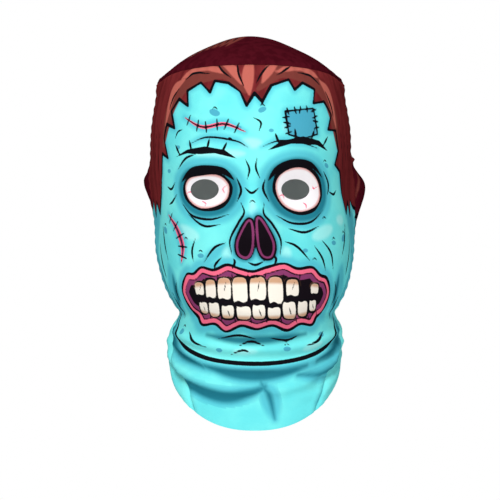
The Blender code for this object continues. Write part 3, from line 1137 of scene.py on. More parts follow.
    def blotches(self) -> Art:
        """Spots, pores and small pits of the skin."""
        spots = (
            (-28, 68, 4.5, 2.6, 20),
            (-9, 80, 2.2, 1.5, 0),
            (9, 66, 3.4, 2.0, -25),
            (16, 82, 2.0, 1.4, 0),
            (-62, 94, 2.4, 1.6, 0),
            (66, 108, 2.6, 1.7, 30),
            (-74, 112, 2.2, 1.6, 0),
            (-86, 158, 3.6, 2.4, 40),
            (86, 164, 3.8, 2.4, -40),
            (-44, 178, 2.8, 1.8, 0),
            (40, 174, 2.2, 1.6, 0),
            (70, 168, 2.8, 1.8, 0),
            (-70, 238, 3.2, 2.0, 30),
            (56, 240, 3.0, 2.0, -20),
            (-28, 252, 2.6, 1.7, 0),
            (24, 251, 3.0, 1.8, 0),
        )
        rings = [
            ((across - 2.2, down - 0.4), (across, down - 2.2), (across + 2.2, down - 0.6))
            for across, down in (
                (-28, 66), (9, 64), (-16, 90), (64, 106), (-86, 155), (86, 161), (-44, 176),
                (70, 166), (60, 150), (-58, 166), (-70, 235), (24, 249), (0, 138), (48, 182),
            )
        ]
        return {
            Ink.BLOTCH: tuple(oval(*row) for row in spots),
            Ink.LINE: strokes(rings, 0.6, 0.25),
        }


@dataclass
class BackPrint:
    """The picture on the hood's back: hair from the crown down to a ragged edge at the nape."""

    side_edge: float = 152.0
    nape_edge: float = 222.0
    reach: float = 141.0
    spikes: int = 11

    def edge(self, across: float) -> float:
        """Drop of the hair's edge at an arc from the middle of the back."""
        share = min(abs(across) / self.reach, 1.3)
        return self.nape_edge - (self.nape_edge - self.side_edge) * share**2

    def behind(self) -> Art:
        """Shapes behind the crown, as arcs from the middle of the back and drops."""
        pitch = 2 * self.reach / (2 * self.spikes)
        points: list[tuple[float, float]] = []
        for index in range(-self.spikes - 2, self.spikes + 3):
            across = index * pitch
            points.append((across - pitch / 2, self.edge(across) - 7 - 2 * math.sin(3.1 * index)))
            points.append((across + 2.5, self.edge(across) + 6 + 3 * math.sin(2.3 * index)))
        hair = Patch(((440, 140), (440, -80), (-440, -80), (-440, 140), *points), smooth=False)
        strands = []
        for index in range(-12, 13):
            end = index * 11.5
            start = 0.62 * end
            foot = self.edge(end) - 12 - 9 * math.sin(1.9 * index) ** 2
            top = 52 + 16 * math.sin(2.7 * index) ** 2
            strands.append(((start, top), (end * 0.9 + 2, (top + foot) / 2), (end, foot)))
        streaks = [
            tuple(
                (across + 4.5, drop + 6 * (place - 1))
                for place, (across, drop) in enumerate(run)
            )
            for run in strands[::2]
        ]
        return {
            Ink.SHADE: (Grown(hair, 5.0),),
            Ink.HAIR: (hair,),
            Ink.HAIR_MID: strokes(streaks, 1.5, 0.2),
            Ink.LINE: (Outline((hair,), 1.05), *strokes(strands, 0.7, 0.2)),
        }

    def crown(self) -> Art:
        """Shapes on the crown, as places across and back from its middle."""
        brushed = [
            ((-2 - 5 * n, -15 - 3 * n), (-9 - 5.6 * n, -33 - n), (-19 - 5.2 * n, -52 + 2.4 * n))
            for n in range(7)
        ]
        strands = [
            (
                (-9 - 6 * n, -22 - 2.6 * n),
                (-11 - 6.4 * n, -32 - 2 * n),
                (-14 - 6.2 * n, -41 - 1.5 * n),
            )
            for n in range(6)
        ]
        sweeps = [
            (
                (10 * math.cos(turn), 10 * math.sin(turn)),
                (30 * math.cos(turn + 0.12), 30 * math.sin(turn + 0.12)),
                (48 * math.cos(turn + 0.2), 48 * math.sin(turn + 0.2)),
            )
            for turn in np.linspace(-0.5, math.pi + 0.5, 13)
        ]
        return {
            Ink.HAIR_MID: (*strokes(brushed, 3.3, 0.4), *strokes(sweeps[1::2], 1.3, 0.2)),
            Ink.LINE: (*strokes(strands, 0.8, 0.2), *strokes(sweeps, 0.6, 0.2)),
        }


def outward(form: HoodForm, angle: np.ndarray, travel: np.ndarray) -> np.ndarray:
    """Unit normals of the cloth, before its fine relief."""
    around = form.points(angle + 0.01, travel) - form.points(angle - 0.01, travel)
    down = form.points(angle, travel + 1.0) - form.points(angle, np.maximum(travel - 1.0, 0))
    return unit(np.cross(down, around))


def quads(rows: np.ndarray, closed: bool = False) -> np.ndarray:
    """Faces between rows of point numbers, and round to the first column when closed."""
    if closed:
        rows = np.hstack([rows, rows[:, :1]])
    corners = (rows[:-1, :-1], rows[1:, :-1], rows[1:, 1:], rows[:-1, 1:])
    return np.stack(corners, axis=-1).reshape(-1, 4)


def free_loops(faces: list[tuple[int, ...]]) -> list[list[int]]:
    """Closed walks along the free edges, in the direction in which the faces run."""
    edges = {(a, b) for face in faces for a, b in zip(face, (*face[1:], face[0]))}
    after = {a: b for a, b in edges if (b, a) not in edges}
    loops = []
    while after:
        start, here = after.popitem()
        loop = [start]
        while here != start:
            loop.append(here)
            here = after.pop(here)
        loops.append(loop)
    return loops


def zip_loops(points: np.ndarray, outer: list[int], inner: list[int]) -> list[tuple[int, ...]]:
    """Joins a free edge of the outside to the free edge of the inside below it.

    Args:
        points: All points.
        outer: The walk along the outside's edge.
        inner: The walk along the inside's edge, which runs the other way round.

    Returns:
        Triangles that close the rim.
    """
    inner = inner[::-1]
    start = int(np.linalg.norm(points[inner] - points[outer[0]], axis=1).argmin())
    inner = inner[start:] + inner[:start]

    def shares(loop: list[int]) -> np.ndarray:
        """How far along the loop each of its points lies."""
        steps = np.linalg.norm(np.diff(points[[*loop, loop[0]]], axis=0), axis=1)
        return np.concatenate([[0], np.cumsum(steps)]) / steps.sum()

    outer_share, inner_share = shares(outer), shares(inner)
    made = []
    i = j = 0
    while i < len(outer) or j < len(inner):
        a, c = outer[i % len(outer)], inner[j % len(inner)]
        ahead = j == len(inner) or (i < len(outer) and outer_share[i + 1] <= inner_share[j + 1])
        if ahead:
            made.append((outer[(i + 1) % len(outer)], a, c))
            i += 1
        else:
            made.append((a, c, inner[(j + 1) % len(inner)]))
            j += 1
    return made


@dataclass
class Cloth:
    """A closed piece of cloth: a fine outside, a coarser inside and the rim between them."""

    name: str
    outside: np.ndarray
    inside: np.ndarray
    outside_faces: list[tuple[int, ...]]
    inside_faces: list[tuple[int, ...]]
    fields: dict[Ink, np.ndarray]

    def build(self, outer: bpy.types.Material, inner: bpy.types.Material) -> bpy.types.Object:
        """Makes the object, with its print in the outside's points.

        Args:
            outer: Finish of the printed side and the cut edges.
            inner: Finish of the plain side.

        Returns:
            The new object.
        """
        points = np.vstack([self.outside, self.inside])
        front = [tuple(face) for face in self.outside_faces]
        back = [tuple(i + len(self.outside) for i in face[::-1]) for face in self.inside_faces]
        rims: list[tuple[int, ...]] = []
        inner_loops = free_loops(back)
        for loop in free_loops(front):
            middle = points[loop].mean(0)
            nearest = min(inner_loops, key=lambda each: self._apart(points, each, middle, loop))
            rims += zip_loops(points, loop, nearest)
        mesh = bpy.data.meshes.new(self.name)
        mesh.from_pydata((points * MM).tolist(), [], front + back + rims)
        mesh.materials.append(outer)
        mesh.materials.append(inner)
        slots = np.ones(len(mesh.polygons), dtype=np.int32)
        slots[: len(front)] = 0
        slots[len(front) + len(back) :] = 0
        mesh.polygons.foreach_set("material_index", slots)
        mesh.shade_smooth()
        mesh.set_sharp_from_angle(angle=math.radians(50))
        for ink, values in self.fields.items():
            layer = mesh.attributes.new(ink.value, "FLOAT", "POINT")
            layer.data.foreach_set("value", values.astype(np.float32))
        made = bpy.data.objects.new(self.name, mesh)
        bpy.context.scene.collection.objects.link(made)
        return made

    @staticmethod
    def _apart(points: np.ndarray, loop: list[int], middle: np.ndarray, other: list[int]) -> float:
        """How unlike two loops are, by their middles and their lengths."""
        return float(
            np.linalg.norm(points[loop].mean(0) - middle)
            + abs(np.ptp(points[loop], axis=0) - np.ptp(points[other], axis=0)).sum()
        )


def print_fields(art: Art, spots: np.ndarray) -> dict[Ink, np.ndarray]:
    """Distance to every ink's shapes, for inks that have any."""
    return {ink: union(spots, shapes) for ink, shapes in art.items() if shapes}


@dataclass
class FacePanel:
    """The printed face panel, with its two eye holes."""

    form: HoodForm
    drapery: Drapery
    chart: ArcChart
    columns: int = 232
    rows: int = 276
    thickness: float = 0.8
    gap: float = 0.3
    hole_spacing: float = 70.0
    hole_drop: float = 127.0
    hole_width: float = 22.0
    hole_height: float = 16.0
    gather: float = 0.22
    fine_rows: float = 0.83
    fine_share: float = 0.75
    name: str = "FacePanel"

    def grid(self) -> tuple[np.ndarray, np.ndarray]:
        """Angles and drops of the outside's points, as rows from the crown seam to the hem."""
        form = self.form
        even = np.linspace(-1, 1, self.columns + 1)
        level = self.hole_drop
        reach = float(form.seam_angle(level))
        spread = (1 - self.gather) * even + self.gather * even**3
        arcs = self.chart.arc(np.array(reach), np.array(level)) * spread
        across = self.chart.angle(arcs, level) / reach
        steps = np.arange(self.rows + 1) / self.rows
        share = np.interp(steps, (0, self.fine_rows, 1), (0, self.fine_share, 1))[:, None]
        end_drop, end_angle = form.seam_end()
        side = form.corner_drop + share * (end_drop - form.corner_drop)
        angle = across * (form.seam_angle(side) - self.gap / 2 / form.half_breadth)
        top = form.crown_seam_drop(angle[0]) + self.gap / 2
        drop = top + share * (form.hem_drop(across * end_angle) - top)
        return angle, drop

    def build(
        self, print_art: FacePrint, finish: PrintFinish, lining: PlainFinish
    ) -> bpy.types.Object:
        """Builds the panel and prints it."""
        angle, drop = self.grid()
        travel = self.form.travel_at(drop)
        points = self.form.points(angle, travel)
        normals = outward(self.form, angle, travel)
        points += normals * self.drapery.height(points, angle, drop)[..., None]
        inside = points - normals * self.thickness
        numbers = np.arange(angle.size).reshape(angle.shape)
        outer = points.reshape(-1, 3).copy()
        inner = inside[::2, ::2].reshape(-1, 3).copy()
        few = np.arange(len(inner)).reshape(inside[::2, ::2].shape[:2])
        outer_faces = self.pierce(outer, quads(numbers), normals.reshape(-1, 3), 0.0)
        coarse = normals[::2, ::2].reshape(-1, 3)
        inner_faces = self.pierce(inner, quads(few), coarse, 0.25)
        outer, outer_faces, kept = self.tidy(outer, outer_faces)
        inner, inner_faces, kept_in = self.tidy(inner, inner_faces)
        spots = np.stack([self.chart.arc(angle, drop), drop], axis=-1)
        outer_spots = spots.reshape(-1, 2)[kept]
        inner_spots = spots[::2, ::2].reshape(-1, 2)[kept_in]
        fields = print_fields(print_art.art(), np.vstack([outer_spots, inner_spots]))
        cloth = Cloth(
            self.name, outer, inner, outer_faces.tolist(), inner_faces.tolist(), fields
        )
        return cloth.build(finish.material(tuple(fields)), lining.material())

    def pierce(
        self, points: np.ndarray, faces: np.ndarray, normals: np.ndarray, wider: float
    ) -> np.ndarray:
        """Opens the eye holes in one skin, and moves the points round them on to the ovals.

        Args:
            points: The skin's points, changed in place.
            faces: Its faces.
            normals: A normal for each point.
            wider: How much wider the holes are on this skin.

        Returns:
            The faces that stay.
        """
        half_wide = self.hole_width / 2 + wider
        half_tall = self.hole_height / 2 + wider
        level = self.form.crown_height - self.hole_drop
        for side in (-1, 1):
            ahead = points[:, 1] < 0
            x = (points[:, 0] - side * self.hole_spacing / 2) / half_wide
            z = (points[:, 2] - level) / half_tall
            radius = np.where(ahead, np.hypot(x, z), FAR)
            inside = radius[faces].mean(1) < 1
            rim = np.intersect1d(faces[inside], faces[~inside])
            faces = faces[~inside]
            shift = np.zeros((len(rim), 3))
            scale = 1 / radius[rim] - 1
            shift[:, 0] = x[rim] * scale * half_wide
            shift[:, 2] = z[rim] * scale * half_tall
            slope = normals[rim]
            shift[:, 1] = -(slope[:, 0] * shift[:, 0] + slope[:, 2] * shift[:, 2]) / slope[:, 1]
            points[rim] += shift
        return faces

    @staticmethod
    def tidy(points: np.ndarray, faces: np.ndarray) -> tuple[np.ndarray, np.ndarray, np.ndarray]:
        """Drops the points that no face uses, and says which ones stay."""
        kept = np.unique(faces)
        numbers = np.zeros(len(points), dtype=int)
        numbers[kept] = np.arange(len(kept))
        return points[kept], numbers[faces], kept


@dataclass
class HoodBack:
    """The plain panel over the crown and down the back of the head."""

    form: HoodForm
    drapery: Drapery
    chart: ArcChart
    front_columns: int = 150
    back_columns: int = 168
    rings: int = 76
    rows: int = 130
    thickness: float = 0.8
    gap: float = 0.3
    name: str = "HoodBack"

    def cap(self) -> tuple[np.ndarray, np.ndarray]:
        """Angles and drops of the rings over the crown."""
        form = self.form
        corner = float(form.seam_angle(form.corner_drop)) + self.gap / 2 / form.half_breadth
        level = form.corner_drop
        reach = float(self.chart.arc(np.array(corner), np.array(level)))
        front = self.chart.angle(np.linspace(-reach, reach, self.front_columns + 1), level)
        behind = self.behind(corner)[1:-1]
        fall = np.clip(form.crown_seam_drop(front) - self.gap / 2, 0, level)
        fall[[0, -1]] = level
        edge = np.concatenate([fall, np.full(behind.shape, level)])
        share = (np.arange(1, self.rings + 1) / self.rings)[:, None]
        travel = form.travel_at(edge) * share
        angle = np.broadcast_to(np.concatenate([front, behind]), travel.shape)
        return angle, form.drop_at(travel)

    def behind(self, corner: float) -> np.ndarray:
        """Angles round the back from one corner to the other, counted on past the middle."""
        level = self.form.corner_drop
        whole = float(self.chart.arc(np.array(math.pi), np.array(level)))
        reach = float(self.chart.arc(np.array(corner), np.array(level)))
        arcs = np.linspace(reach, 2 * whole - reach, self.back_columns + 1)
        first = self.chart.angle(np.minimum(arcs, whole), level)
        second = 2 * math.pi - self.chart.angle(2 * whole - arcs, level)
        return np.where(arcs <= whole, first, second)

    def skirt(self) -> tuple[np.ndarray, np.ndarray]:
        """Angles and drops of the rows behind the side seams."""
        form = self.form
        corner = float(form.seam_angle(form.corner_drop)) + self.gap / 2 / form.half_breadth
        around = (self.behind(corner) - corner) / (2 * (math.pi - corner))
        share = np.linspace(0, 1, self.rows + 1)[:, None]
        end_drop, end_angle = form.seam_end()
        side = form.corner_drop + share * (end_drop - form.corner_drop)
        seam = form.seam_angle(side) + self.gap / 2 / form.half_breadth
        angle = seam + around * 2 * (math.pi - seam)
        hem = form.hem_drop(end_angle + around * 2 * (math.pi - end_angle))
        return angle, form.corner_drop + share * (hem - form.corner_drop)

    def build(
        self, print_art: BackPrint, finish: PrintFinish, lining: PlainFinish
    ) -> bpy.types.Object:
        """Builds the panel and prints it."""
        skins = [self.skin(*self.cap()), self.skin(*self.skirt())]
        (cap, cap_in, cap_spots), (skirt, skirt_in, skirt_spots) = skins
        pole = np.array([[0.0, 0.0, self.form.crown_height]])
        outer = np.vstack([pole, cap.reshape(-1, 3), skirt[1:].reshape(-1, 3)])
        inner = np.vstack(
            [
                pole - (0, 0, self.thickness),
                cap_in[1::2, ::2].reshape(-1, 3),
                skirt_in[2::2, ::2].reshape(-1, 3),
            ]
        )
        columns = self.front_columns + self.back_columns
        outer_faces = self.faces(self.rings, self.rows, columns, self.front_columns)
        inner_faces = self.faces(
            self.rings // 2, self.rows // 2, columns // 2, self.front_columns // 2
        )
        spots = np.vstack(
            [
                (0, 0),
                cap_spots.reshape(-1, 2),
                skirt_spots[1:].reshape(-1, 2),
                (0, 0),
                cap_spots[1::2, ::2].reshape(-1, 2),
                skirt_spots[2::2, ::2].reshape(-1, 2),
            ]
        )
        fields = print_fields(print_art.behind(), spots)
        both = np.vstack([outer, inner])
        for ink, values in print_fields(print_art.crown(), both[:, :2]).items():
            values = np.where(both[:, 2] > -self.form.corner_drop + 4, values, FAR)
            fields[ink] = np.minimum(fields[ink], values)
        cloth = Cloth(self.name, outer, inner, outer_faces, inner_faces, fields)
        return cloth.build(finish.material(tuple(fields)), lining.material())

    def skin(
        self, angle: np.ndarray, drop: np.ndarray
    ) -> tuple[np.ndarray, np.ndarray, np.ndarray]:
        """The outside, the inside and the print's places for rows of angles and drops."""
        wrapped = np.where(angle > math.pi, angle - 2 * math.pi, angle)
        travel = self.form.travel_at(drop)
        points = self.form.points(wrapped, travel)
        normals = outward(self.form, wrapped, travel)
        points += normals * self.drapery.height(points, wrapped, drop)[..., None]
        arc = self.chart.arc(wrapped, drop)
        whole = self.chart.arc(np.full(drop.shape, math.pi), drop)
        spots = np.stack([np.where(arc < 0, -1, 1) * (whole - np.abs(arc)), drop], axis=-1)
        return points, points - normals * self.thickness, spots

    @staticmethod
    def faces(rings: int, rows: int, columns: int, front: int) -> list[tuple[int, ...]]:
        """Triangles round the crown, and the faces of the rings and the rows below them."""
        numbers = 1 + np.arange(rings * columns).reshape(rings, columns)
        first = numbers[0]
        fan = np.column_stack([np.zeros(columns, dtype=int), first, np.roll(first, -1)])
        across = columns - front + 1
        below = 1 + rings * columns + np.arange(rows * across).reshape(rows, across)
        joint = np.append(numbers[-1, front:], numbers[-1, 0])
        rest = np.vstack([quads(numbers, closed=True), quads(np.vstack([joint, below]))])
        return fan.tolist() + rest.tolist()


@dataclass
class SeamAllowance:
    """The sewn edge of both panels, laid back inside the hood and overcast with thread."""

    form: HoodForm
    drapery: Drapery
    steps: int = 900
    wide: float = 5.0
    thick: float = 1.0
    depth: float = 0.9
    stitch: float = 2.4
    wave: float = 0.22
    overlap: float = 0.6
    end_inset: float = 1.5
    side_share: float = 0.42
    name: str = "SeamAllowance"

    def build(self, thread: ThreadFinish) -> bpy.types.Object:
        """Builds the strip from hem to hem over the forehead."""
        form = self.form
        end_drop, _ = form.seam_end()
        sides = int(self.steps * self.side_share)
        drop = np.linspace(end_drop - self.end_inset, form.corner_drop, sides)
        side = form.seam_angle(drop)
        over = np.linspace(1, -1, self.steps - 2 * sides + 2)[1:-1] * side[-1]
        angle = np.concatenate([side, over, -side[::-1]])
        drops = np.concatenate([drop, form.crown_seam_drop(over), drop[::-1]])
        travel = form.travel_at(drops)
        line = form.points(angle, travel)
        normal = outward(form, angle, travel)
        back = unit(np.cross(normal, np.gradient(line, axis=0)))
        run = np.concatenate([[0], np.cumsum(np.linalg.norm(np.diff(line, axis=0), axis=1))])
        wave = self.wave * np.sin(run * 2 * math.pi / self.stitch)
        ring = []
        start, end = -self.overlap, self.wide
        for across, down in ((start, 0.0), (end, 0.0), (end, 1.0), (start, 1.0)):
            reach = across + (wave if across > 0 else 0)
            edge, slope = self.beside(angle, travel, back, reach)
            sink = self.depth + down * (self.thick + wave)
            ring.append(edge - slope * sink[:, None])
        points = np.stack(ring, axis=1)
        numbers = np.arange(points.shape[0] * 4).reshape(-1, 4)
        faces = quads(numbers, closed=True)[:, ::-1].tolist()
        faces += [numbers[0].tolist(), numbers[-1, ::-1].tolist()]
        mesh = bpy.data.meshes.new(self.name)
        mesh.from_pydata((points.reshape(-1, 3) * MM).tolist(), [], faces)
        mesh.materials.append(thread.material())
        layer = mesh.attributes.new("run", "FLOAT", "POINT")
        layer.data.foreach_set("value", np.repeat(run, 4).astype(np.float32))
        mesh.shade_smooth()
        mesh.set_sharp_from_angle(angle=math.radians(40))
        made = bpy.data.objects.new(self.name, mesh)
        bpy.context.scene.collection.objects.link(made)
        return made

    def beside(
        self, angle: np.ndarray, travel: np.ndarray, back: np.ndarray, reach: np.ndarray
    ) -> tuple[np.ndarray, np.ndarray]:
        """Points of the creased cloth beside the seam, and their normals.

        Args:
            angle: Angles of the seam's points.
            travel: Their travels down from the crown.
            back: Unit directions along the cloth, away from the face.
            reach: How far to go that way.

        Returns:
            Points on the outside of the cloth and unit normals.
        """
        form = self.form
        around = (form.points(angle + 0.01, travel) - form.points(angle - 0.01, travel)) / 0.02
        down = (form.points(angle, travel + 1.0) - form.points(angle, travel - 1.0)) / 2.0
        sums = [(a * b).sum(1) for a, b in ((around, around), (around, down), (down, down))]
        ahead, fall = (around * back).sum(1), (down * back).sum(1)
        spread = sums[0] * sums[2] - sums[1] ** 2
        turn = angle + reach * (ahead * sums[2] - fall * sums[1]) / spread
        run = travel + reach * (fall * sums[0] - ahead * sums[1]) / spread
        points = form.points(turn, run)
        normals = outward(form, turn, run)
        height = self.drapery.height(points, turn, form.drop_at(run))
        return points + normals * height[:, None], normals


def linear(red: float, green: float, blue: float) -> tuple[float, float, float, float]:
    """A colour given in 8-bit steps, as shaders take it."""
    parts = []
    for value in (red, green, blue):
        share = value / 255
        parts.append(share / 12.92 if share <= 0.04045 else ((share + 0.055) / 1.055) ** 2.4)
    return (parts[0], parts[1], parts[2], 1.0)


Colour = tuple[float, float, float, float]


@dataclass(frozen=True, eq=False)
class Wire:
    """A shader socket that takes part in sums."""

    graph: Graph
    socket: bpy.types.NodeSocket

    def __add__(self, other: Wire | float) -> Wire:
        """Sum."""
        return self.graph.maths("ADD", self, other)

    def __radd__(self, other: float) -> Wire:
        """Sum."""
        return self.graph.maths("ADD", other, self)

    def __sub__(self, other: Wire | float) -> Wire:
        """Difference."""
        return self.graph.maths("SUBTRACT", self, other)

    def __rsub__(self, other: float) -> Wire:
        """Difference."""
        return self.graph.maths("SUBTRACT", other, self)

    def __mul__(self, other: Wire | float) -> Wire:
        """Product."""
        return self.graph.maths("MULTIPLY", self, other)

    def __rmul__(self, other: float) -> Wire:
        """Product."""
        return self.graph.maths("MULTIPLY", other, self)


class Graph:
    """A material and the nodes that it is made of."""

    def __init__(self, name: str) -> None:
        """Starts a material with a plain surface shader."""
        self.material = bpy.data.materials.new(name)
        self.material.use_nodes = True
        self.tree = self.material.node_tree
        self.surface = self.tree.nodes["Principled BSDF"]

    def node(
        self,
        kind: str,
        settings: dict[str, object] | None = None,
        inputs: dict[str | int, object] | None = None,
        output: str | int = 0,
    ) -> Wire:
        """Adds a node.

        Args:
            kind: The node's type.
            settings: Its settings, set before its sockets.
            inputs: Values or wires for its sockets.
            output: Which of its sockets comes back.

        Returns:
            The output socket.
        """
        made = self.tree.nodes.new(kind)
        for name, value in (settings or {}).items():
            setattr(made, name, value)
        for name, value in (inputs or {}).items():
            self.feed(made.inputs[name], value)
        return Wire(self, made.outputs[output])

    def feed(self, socket: bpy.types.NodeSocket, value: object) -> None:
        """Links a wire to a socket, or sets its value."""
        if isinstance(value, Wire):
            self.tree.links.new(value.socket, socket)
        else:
            socket.default_value = value

    def maths(self, operation: str, *values: Wire | float) -> Wire:
        """Adds a Math node."""
        return self.node("ShaderNodeMath", {"operation": operation}, dict(enumerate(values)))

    def mix(self, share: Wire | float, first: Wire | Colour, second: Wire | Colour) -> Wire:
        """Mixes two colours."""
        settings = {"data_type": "RGBA"}
        return self.node("ShaderNodeMix", settings, {0: share, 6: first, 7: second}, 2)

    def attribute(self, name: str) -> Wire:
        """Reads a value that is kept in the mesh's points."""
        return self.node("ShaderNodeAttribute", {"attribute_name": name}, output="Fac")

    def place(self) -> Wire:
        """Places on the object, in metres."""
        return self.node("ShaderNodeTexCoord", output="Object")

    def split(self, vector: Wire) -> tuple[Wire, Wire, Wire]:
        """The three parts of a vector."""
        first = self.node("ShaderNodeSeparateXYZ", inputs={0: vector})
        outputs = first.socket.node.outputs
        return first, Wire(self, outputs[1]), Wire(self, outputs[2])

    def stretched(self, vector: Wire, scale: tuple[float, float, float]) -> Wire:
        """A vector with each part multiplied."""
        return self.node("ShaderNodeVectorMath", {"operation": "MULTIPLY"}, {0: vector, 1: scale})

    def noise(self, vector: Wire, scale: float, detail: float = 2.0) -> Wire:
        """Smooth noise from 0 to 1."""
        return self.node(
            "ShaderNodeTexNoise", inputs={"Vector": vector, "Scale": scale, "Detail": detail}
        )

    def step(self, value: Wire, low: float, high: float, start: float, end: float) -> Wire:
        """Runs smoothly from one level to another while the value goes from low to high."""
        return self.node(
            "ShaderNodeMapRange",
            {"interpolation_type": "SMOOTHSTEP"},
            {"Value": value, 1: low, 2: high, 3: start, 4: end},
        )

    def finish(self, inputs: dict[str, object]) -> bpy.types.Material:
        """Feeds the surface shader and hands the material over."""
        for name, value in inputs.items():
            self.feed(self.surface.inputs[name], value)
        return self.material


@dataclass(frozen=True)
class Knit:
    """The loops of a fine jersey, as a bump."""

    ribs: int = 486
    rows: float = 7200.0
    strength: float = 0.16
    depth: float = 0.00025

    def bump(self, graph: Graph, place: Wire) -> Wire:
        """Adds the loops and a little unevenness."""
        x, y, z = graph.split(place)
        turn = graph.maths("ARCTAN2", x, y * -1.0)
        rib = graph.maths("SINE", turn * float(self.ribs))
        row = graph.maths("SINE", z * self.rows)
        slub = graph.noise(graph.stretched(place, (1.0, 1.0, 0.35)), 900.0, 3.0)
        height = rib * 0.35 + row * 0.18 + slub * 1.1
        inputs = {"Height": height, "Strength": self.strength, "Distance": self.depth}
        return graph.node("ShaderNodeBump", inputs=inputs)


@dataclass(frozen=True)
class Layer:
    """How one ink is laid: its colour, how soft its edge is and how much it covers."""

    colour: Colour
    soft: float = 0.24
    cover: float = 1.0


LAYERS = {
    Ink.GLOW: Layer(linear(176, 255, 252), 2.2, 0.75),
    Ink.SHADE: Layer(linear(84, 196, 214), 3.2, 0.85),
    Ink.DEEP_SHADE: Layer(linear(28, 118, 138), 2.4, 0.92),
    Ink.BLOTCH: Layer(linear(74, 168, 196), 0.45, 0.9),
    Ink.RIM: Layer(linear(226, 168, 164), 0.3),
    Ink.EYE: Layer(linear(252, 247, 250), 1.1),
    Ink.LIP: Layer(linear(250, 112, 142)),
    Ink.GUM: Layer(linear(139, 61, 108)),
    Ink.DARK: Layer(linear(24, 18, 24), 0.3),
    Ink.TOOTH: Layer(linear(251, 243, 230)),
    Ink.TOOTH_SHADE: Layer(linear(205, 148, 104), 1.6, 0.85),
    Ink.HAIR: Layer(linear(104, 36, 38)),
    Ink.HAIR_MID: Layer(linear(126, 60, 54), 0.8),
    Ink.HAIR_LIGHT: Layer(linear(196, 104, 92), 0.8),
    Ink.LINE: Layer(linear(18, 17, 22)),
}


@dataclass(frozen=True)
class PrintFinish:
    """Ink in a pale stretch jersey: flat colours with drawn lines, and no shine."""

    name: str
    hair: Colour
    skin: Colour = linear(128, 246, 243)
    skin_low: Colour = linear(108, 232, 236)
    knit: Knit = Knit()
    hair_shade: tuple[float, float, float] = (0.72, 0.66, 0.7)

    def material(self, inks: tuple[Ink, ...]) -> bpy.types.Material:
        """Makes the finish with these inks on it."""
        graph = Graph(self.name)
        place = graph.place()
        cloud = graph.noise(place, 28.0, 3.0)
        colour = graph.mix(graph.step(cloud, 0.35, 0.68, 0.0, 1.0), self.skin, self.skin_low)
        bleed = (graph.noise(place, 1300.0, 1.0) - 0.5) * 0.5
        for ink in Ink:
            if ink not in inks:
                continue
            layer = LAYERS[ink]
            tint: Wire | Colour = layer.colour
            if ink is Ink.HAIR:
                streak = graph.noise(graph.stretched(place, (1.0, 1.0, 0.12)), 160.0, 2.0)
                darker = (*(a * b for a, b in zip(self.hair, self.hair_shade)), 1.0)
                tint = graph.mix(graph.step(streak, 0.4, 0.66, 0.0, 1.0), self.hair, darker)
            distance = graph.attribute(ink.value) + bleed
            share = graph.step(distance, -layer.soft, layer.soft, layer.cover, 0.0)
            colour = graph.mix(share, colour, tint)
        rough = graph.noise(place, 220.0) * 0.12 + 0.72
        return graph.finish(
            {
                "Base Color": colour,
                "Roughness": rough,
                "Specular IOR Level": 0.0,
                "Normal": self.knit.bump(graph, place),
            }
        )


@dataclass(frozen=True)
class PlainFinish:
    """The white unprinted side of the jersey."""

    name: str = "knit_reverse"
    colour: Colour = linear(232, 234, 232)
    dull: Colour = linear(214, 222, 222)
    knit: Knit = Knit(strength=0.25)

    def material(self) -> bpy.types.Material:
        """Makes the finish, once."""
        if self.name in bpy.data.materials:
            return bpy.data.materials[self.name]
        graph = Graph(self.name)
        place = graph.place()
        tint = graph.mix(graph.noise(place, 90.0), self.colour, self.dull)
        return graph.finish(
            {
                "Base Color": tint,
                "Roughness": 0.85,
                "Specular IOR Level": 0.2,
                "Normal": self.knit.bump(graph, place),
            }
        )


@dataclass(frozen=True)
class ThreadFinish:
    """White overcasting thread over a cloth edge."""

    name: str = "overcast_thread"
    thread: Colour = linear(240, 240, 236)
    between: Colour = linear(176, 196, 198)
    pitch: float = 1.2

    def material(self) -> bpy.types.Material:
        """Makes the finish from the strip's own length."""
        graph = Graph(self.name)
        wave = graph.maths("SINE", graph.attribute("run") * (2 * math.pi / self.pitch))
        share = graph.step(wave, -0.5, 0.4, 0.0, 1.0)
        inputs = {"Height": share, "Strength": 0.5, "Distance": 0.0004}
        return graph.finish(
            {
                "Base Color": graph.mix(share, self.between, self.thread),
                "Roughness": 0.7,
                "Specular IOR Level": 0.3,
                "Normal": graph.node("ShaderNodeBump", inputs=inputs),
            }
        )


class Lamp(NamedTuple):
    """A lamp of the studio, in metres and watts."""

    name: str
    place: tuple[float, float, float]
    size: float
    power: float


LAMPS = (
    Lamp("Key", (-0.35, -1.6, 0.9), 0.6, 27.0),
    Lamp("Fill", (0.8, -1.9, 0.1), 1.0, 9.0),
)


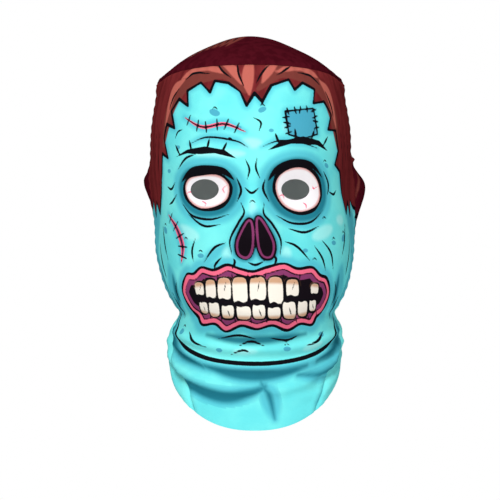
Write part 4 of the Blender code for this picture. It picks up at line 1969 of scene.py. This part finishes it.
@dataclass
class Studio:
    """A white room with soft light from the front, and the camera."""

    distance: float = 1.6
    eye_level: float = -0.1721
    field_of_view: float = 0.4075
    sensor: float = 36.0
    floor_level: float = -0.95
    floor_size: float = 2.0
    glow: float = 0.4
    ambient: float = 0.22
    white: Colour = (1.0, 1.0, 1.0, 1.0)

    def build(self) -> None:
        """Builds everything that isn't part of the mask."""
        scene = bpy.context.scene
        scene.view_settings.view_transform = "Standard"
        scene.view_settings.look = "None"
        camera = bpy.data.cameras.new("Camera")
        camera.sensor_width = self.sensor
        camera.lens = self.sensor * self.distance / self.field_of_view
        camera.clip_end = 50.0
        placed = bpy.data.objects.new("Camera", camera)
        placed.location = (0.0, -self.distance, self.eye_level)
        placed.rotation_euler = (math.radians(90), 0.0, 0.0)
        scene.collection.objects.link(placed)
        scene.camera = placed
        self.floor()
        self.world()
        for lamp in LAMPS:
            self.light(lamp)

    def floor(self) -> None:
        """A pale floor well below the hood."""
        half, low = self.floor_size / 2, self.floor_level
        corners = [(-half, -half, low), (half, -half, low), (half, half, low), (-half, half, low)]
        graph = Graph("studio_white")
        white = graph.finish(
            {
                "Base Color": self.white,
                "Roughness": 0.9,
                "Emission Color": self.white,
                "Emission Strength": self.glow,
            }
        )
        mesh = bpy.data.meshes.new("Floor")
        mesh.from_pydata(corners, [], [(0, 1, 2, 3)])
        mesh.materials.append(white)
        floor = bpy.data.objects.new("Floor", mesh)
        bpy.context.scene.collection.objects.link(floor)

    def world(self) -> None:
        """A white room that gives only a weak light of its own."""
        world = bpy.data.worlds.new("Studio")
        world.use_nodes = True
        nodes, links = world.node_tree.nodes, world.node_tree.links
        background = nodes["Background"]
        background.inputs["Color"].default_value = self.white
        seen = nodes.new("ShaderNodeLightPath")
        strength = nodes.new("ShaderNodeMapRange")
        strength.inputs["To Min"].default_value = self.ambient
        strength.inputs["To Max"].default_value = 1.0
        links.new(seen.outputs["Is Camera Ray"], strength.inputs["Value"])
        links.new(strength.outputs["Result"], background.inputs["Strength"])
        bpy.context.scene.world = world

    def light(self, lamp: Lamp) -> None:
        """A soft square lamp that points at the middle of the mask."""
        light = bpy.data.lights.new(lamp.name, "AREA")
        light.shape = "SQUARE"
        light.size = lamp.size
        light.energy = lamp.power
        made = bpy.data.objects.new(lamp.name, light)
        made.location = lamp.place
        x, y, z = lamp.place[0], lamp.place[1], lamp.place[2] - self.eye_level
        made.rotation_euler = (math.atan2(math.hypot(x, y), z), 0.0, math.atan2(y, x) + math.pi / 2)
        bpy.context.scene.collection.objects.link(made)


@dataclass(frozen=True)
class Cut:
    """The flat piece that a panel was cut to: its size and its area."""

    flat: tuple[float, float]
    area: float


def report(piece: bpy.types.Object) -> None:
    """Logs a piece's name and size."""
    LOG.info("%s: %d faces", piece.name, len(piece.data.polygons))


def main() -> None:
    """Builds the mask and its studio, and ties each piece to the frame."""
    logging.basicConfig(level=logging.INFO, format="%(message)s")
    Studio().build()
    form = HoodForm()
    chart = ArcChart(form)
    drapery = Drapery(form, chart)
    lining = PlainFinish()
    face_finish = PrintFinish("face_print_ink", hair=linear(126, 44, 46))
    back_finish = PrintFinish("hair_print_ink", hair=linear(82, 17, 29))
    face = FacePanel(form, drapery, chart).build(FacePrint(), face_finish, lining)
    back = HoodBack(form, drapery, chart).build(BackPrint(), back_finish, lining)
    seam = SeamAllowance(form, drapery).build(ThreadFinish())
    for piece, node, slot in (
        (face, "face_panel", "face_print"),
        (back, "hood_back", "hair_print"),
    ):
        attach(piece, "root")
        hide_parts(node)
        report(piece)
    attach(seam, "root")
    report(seam)


if __name__ == "__main__":
    main()
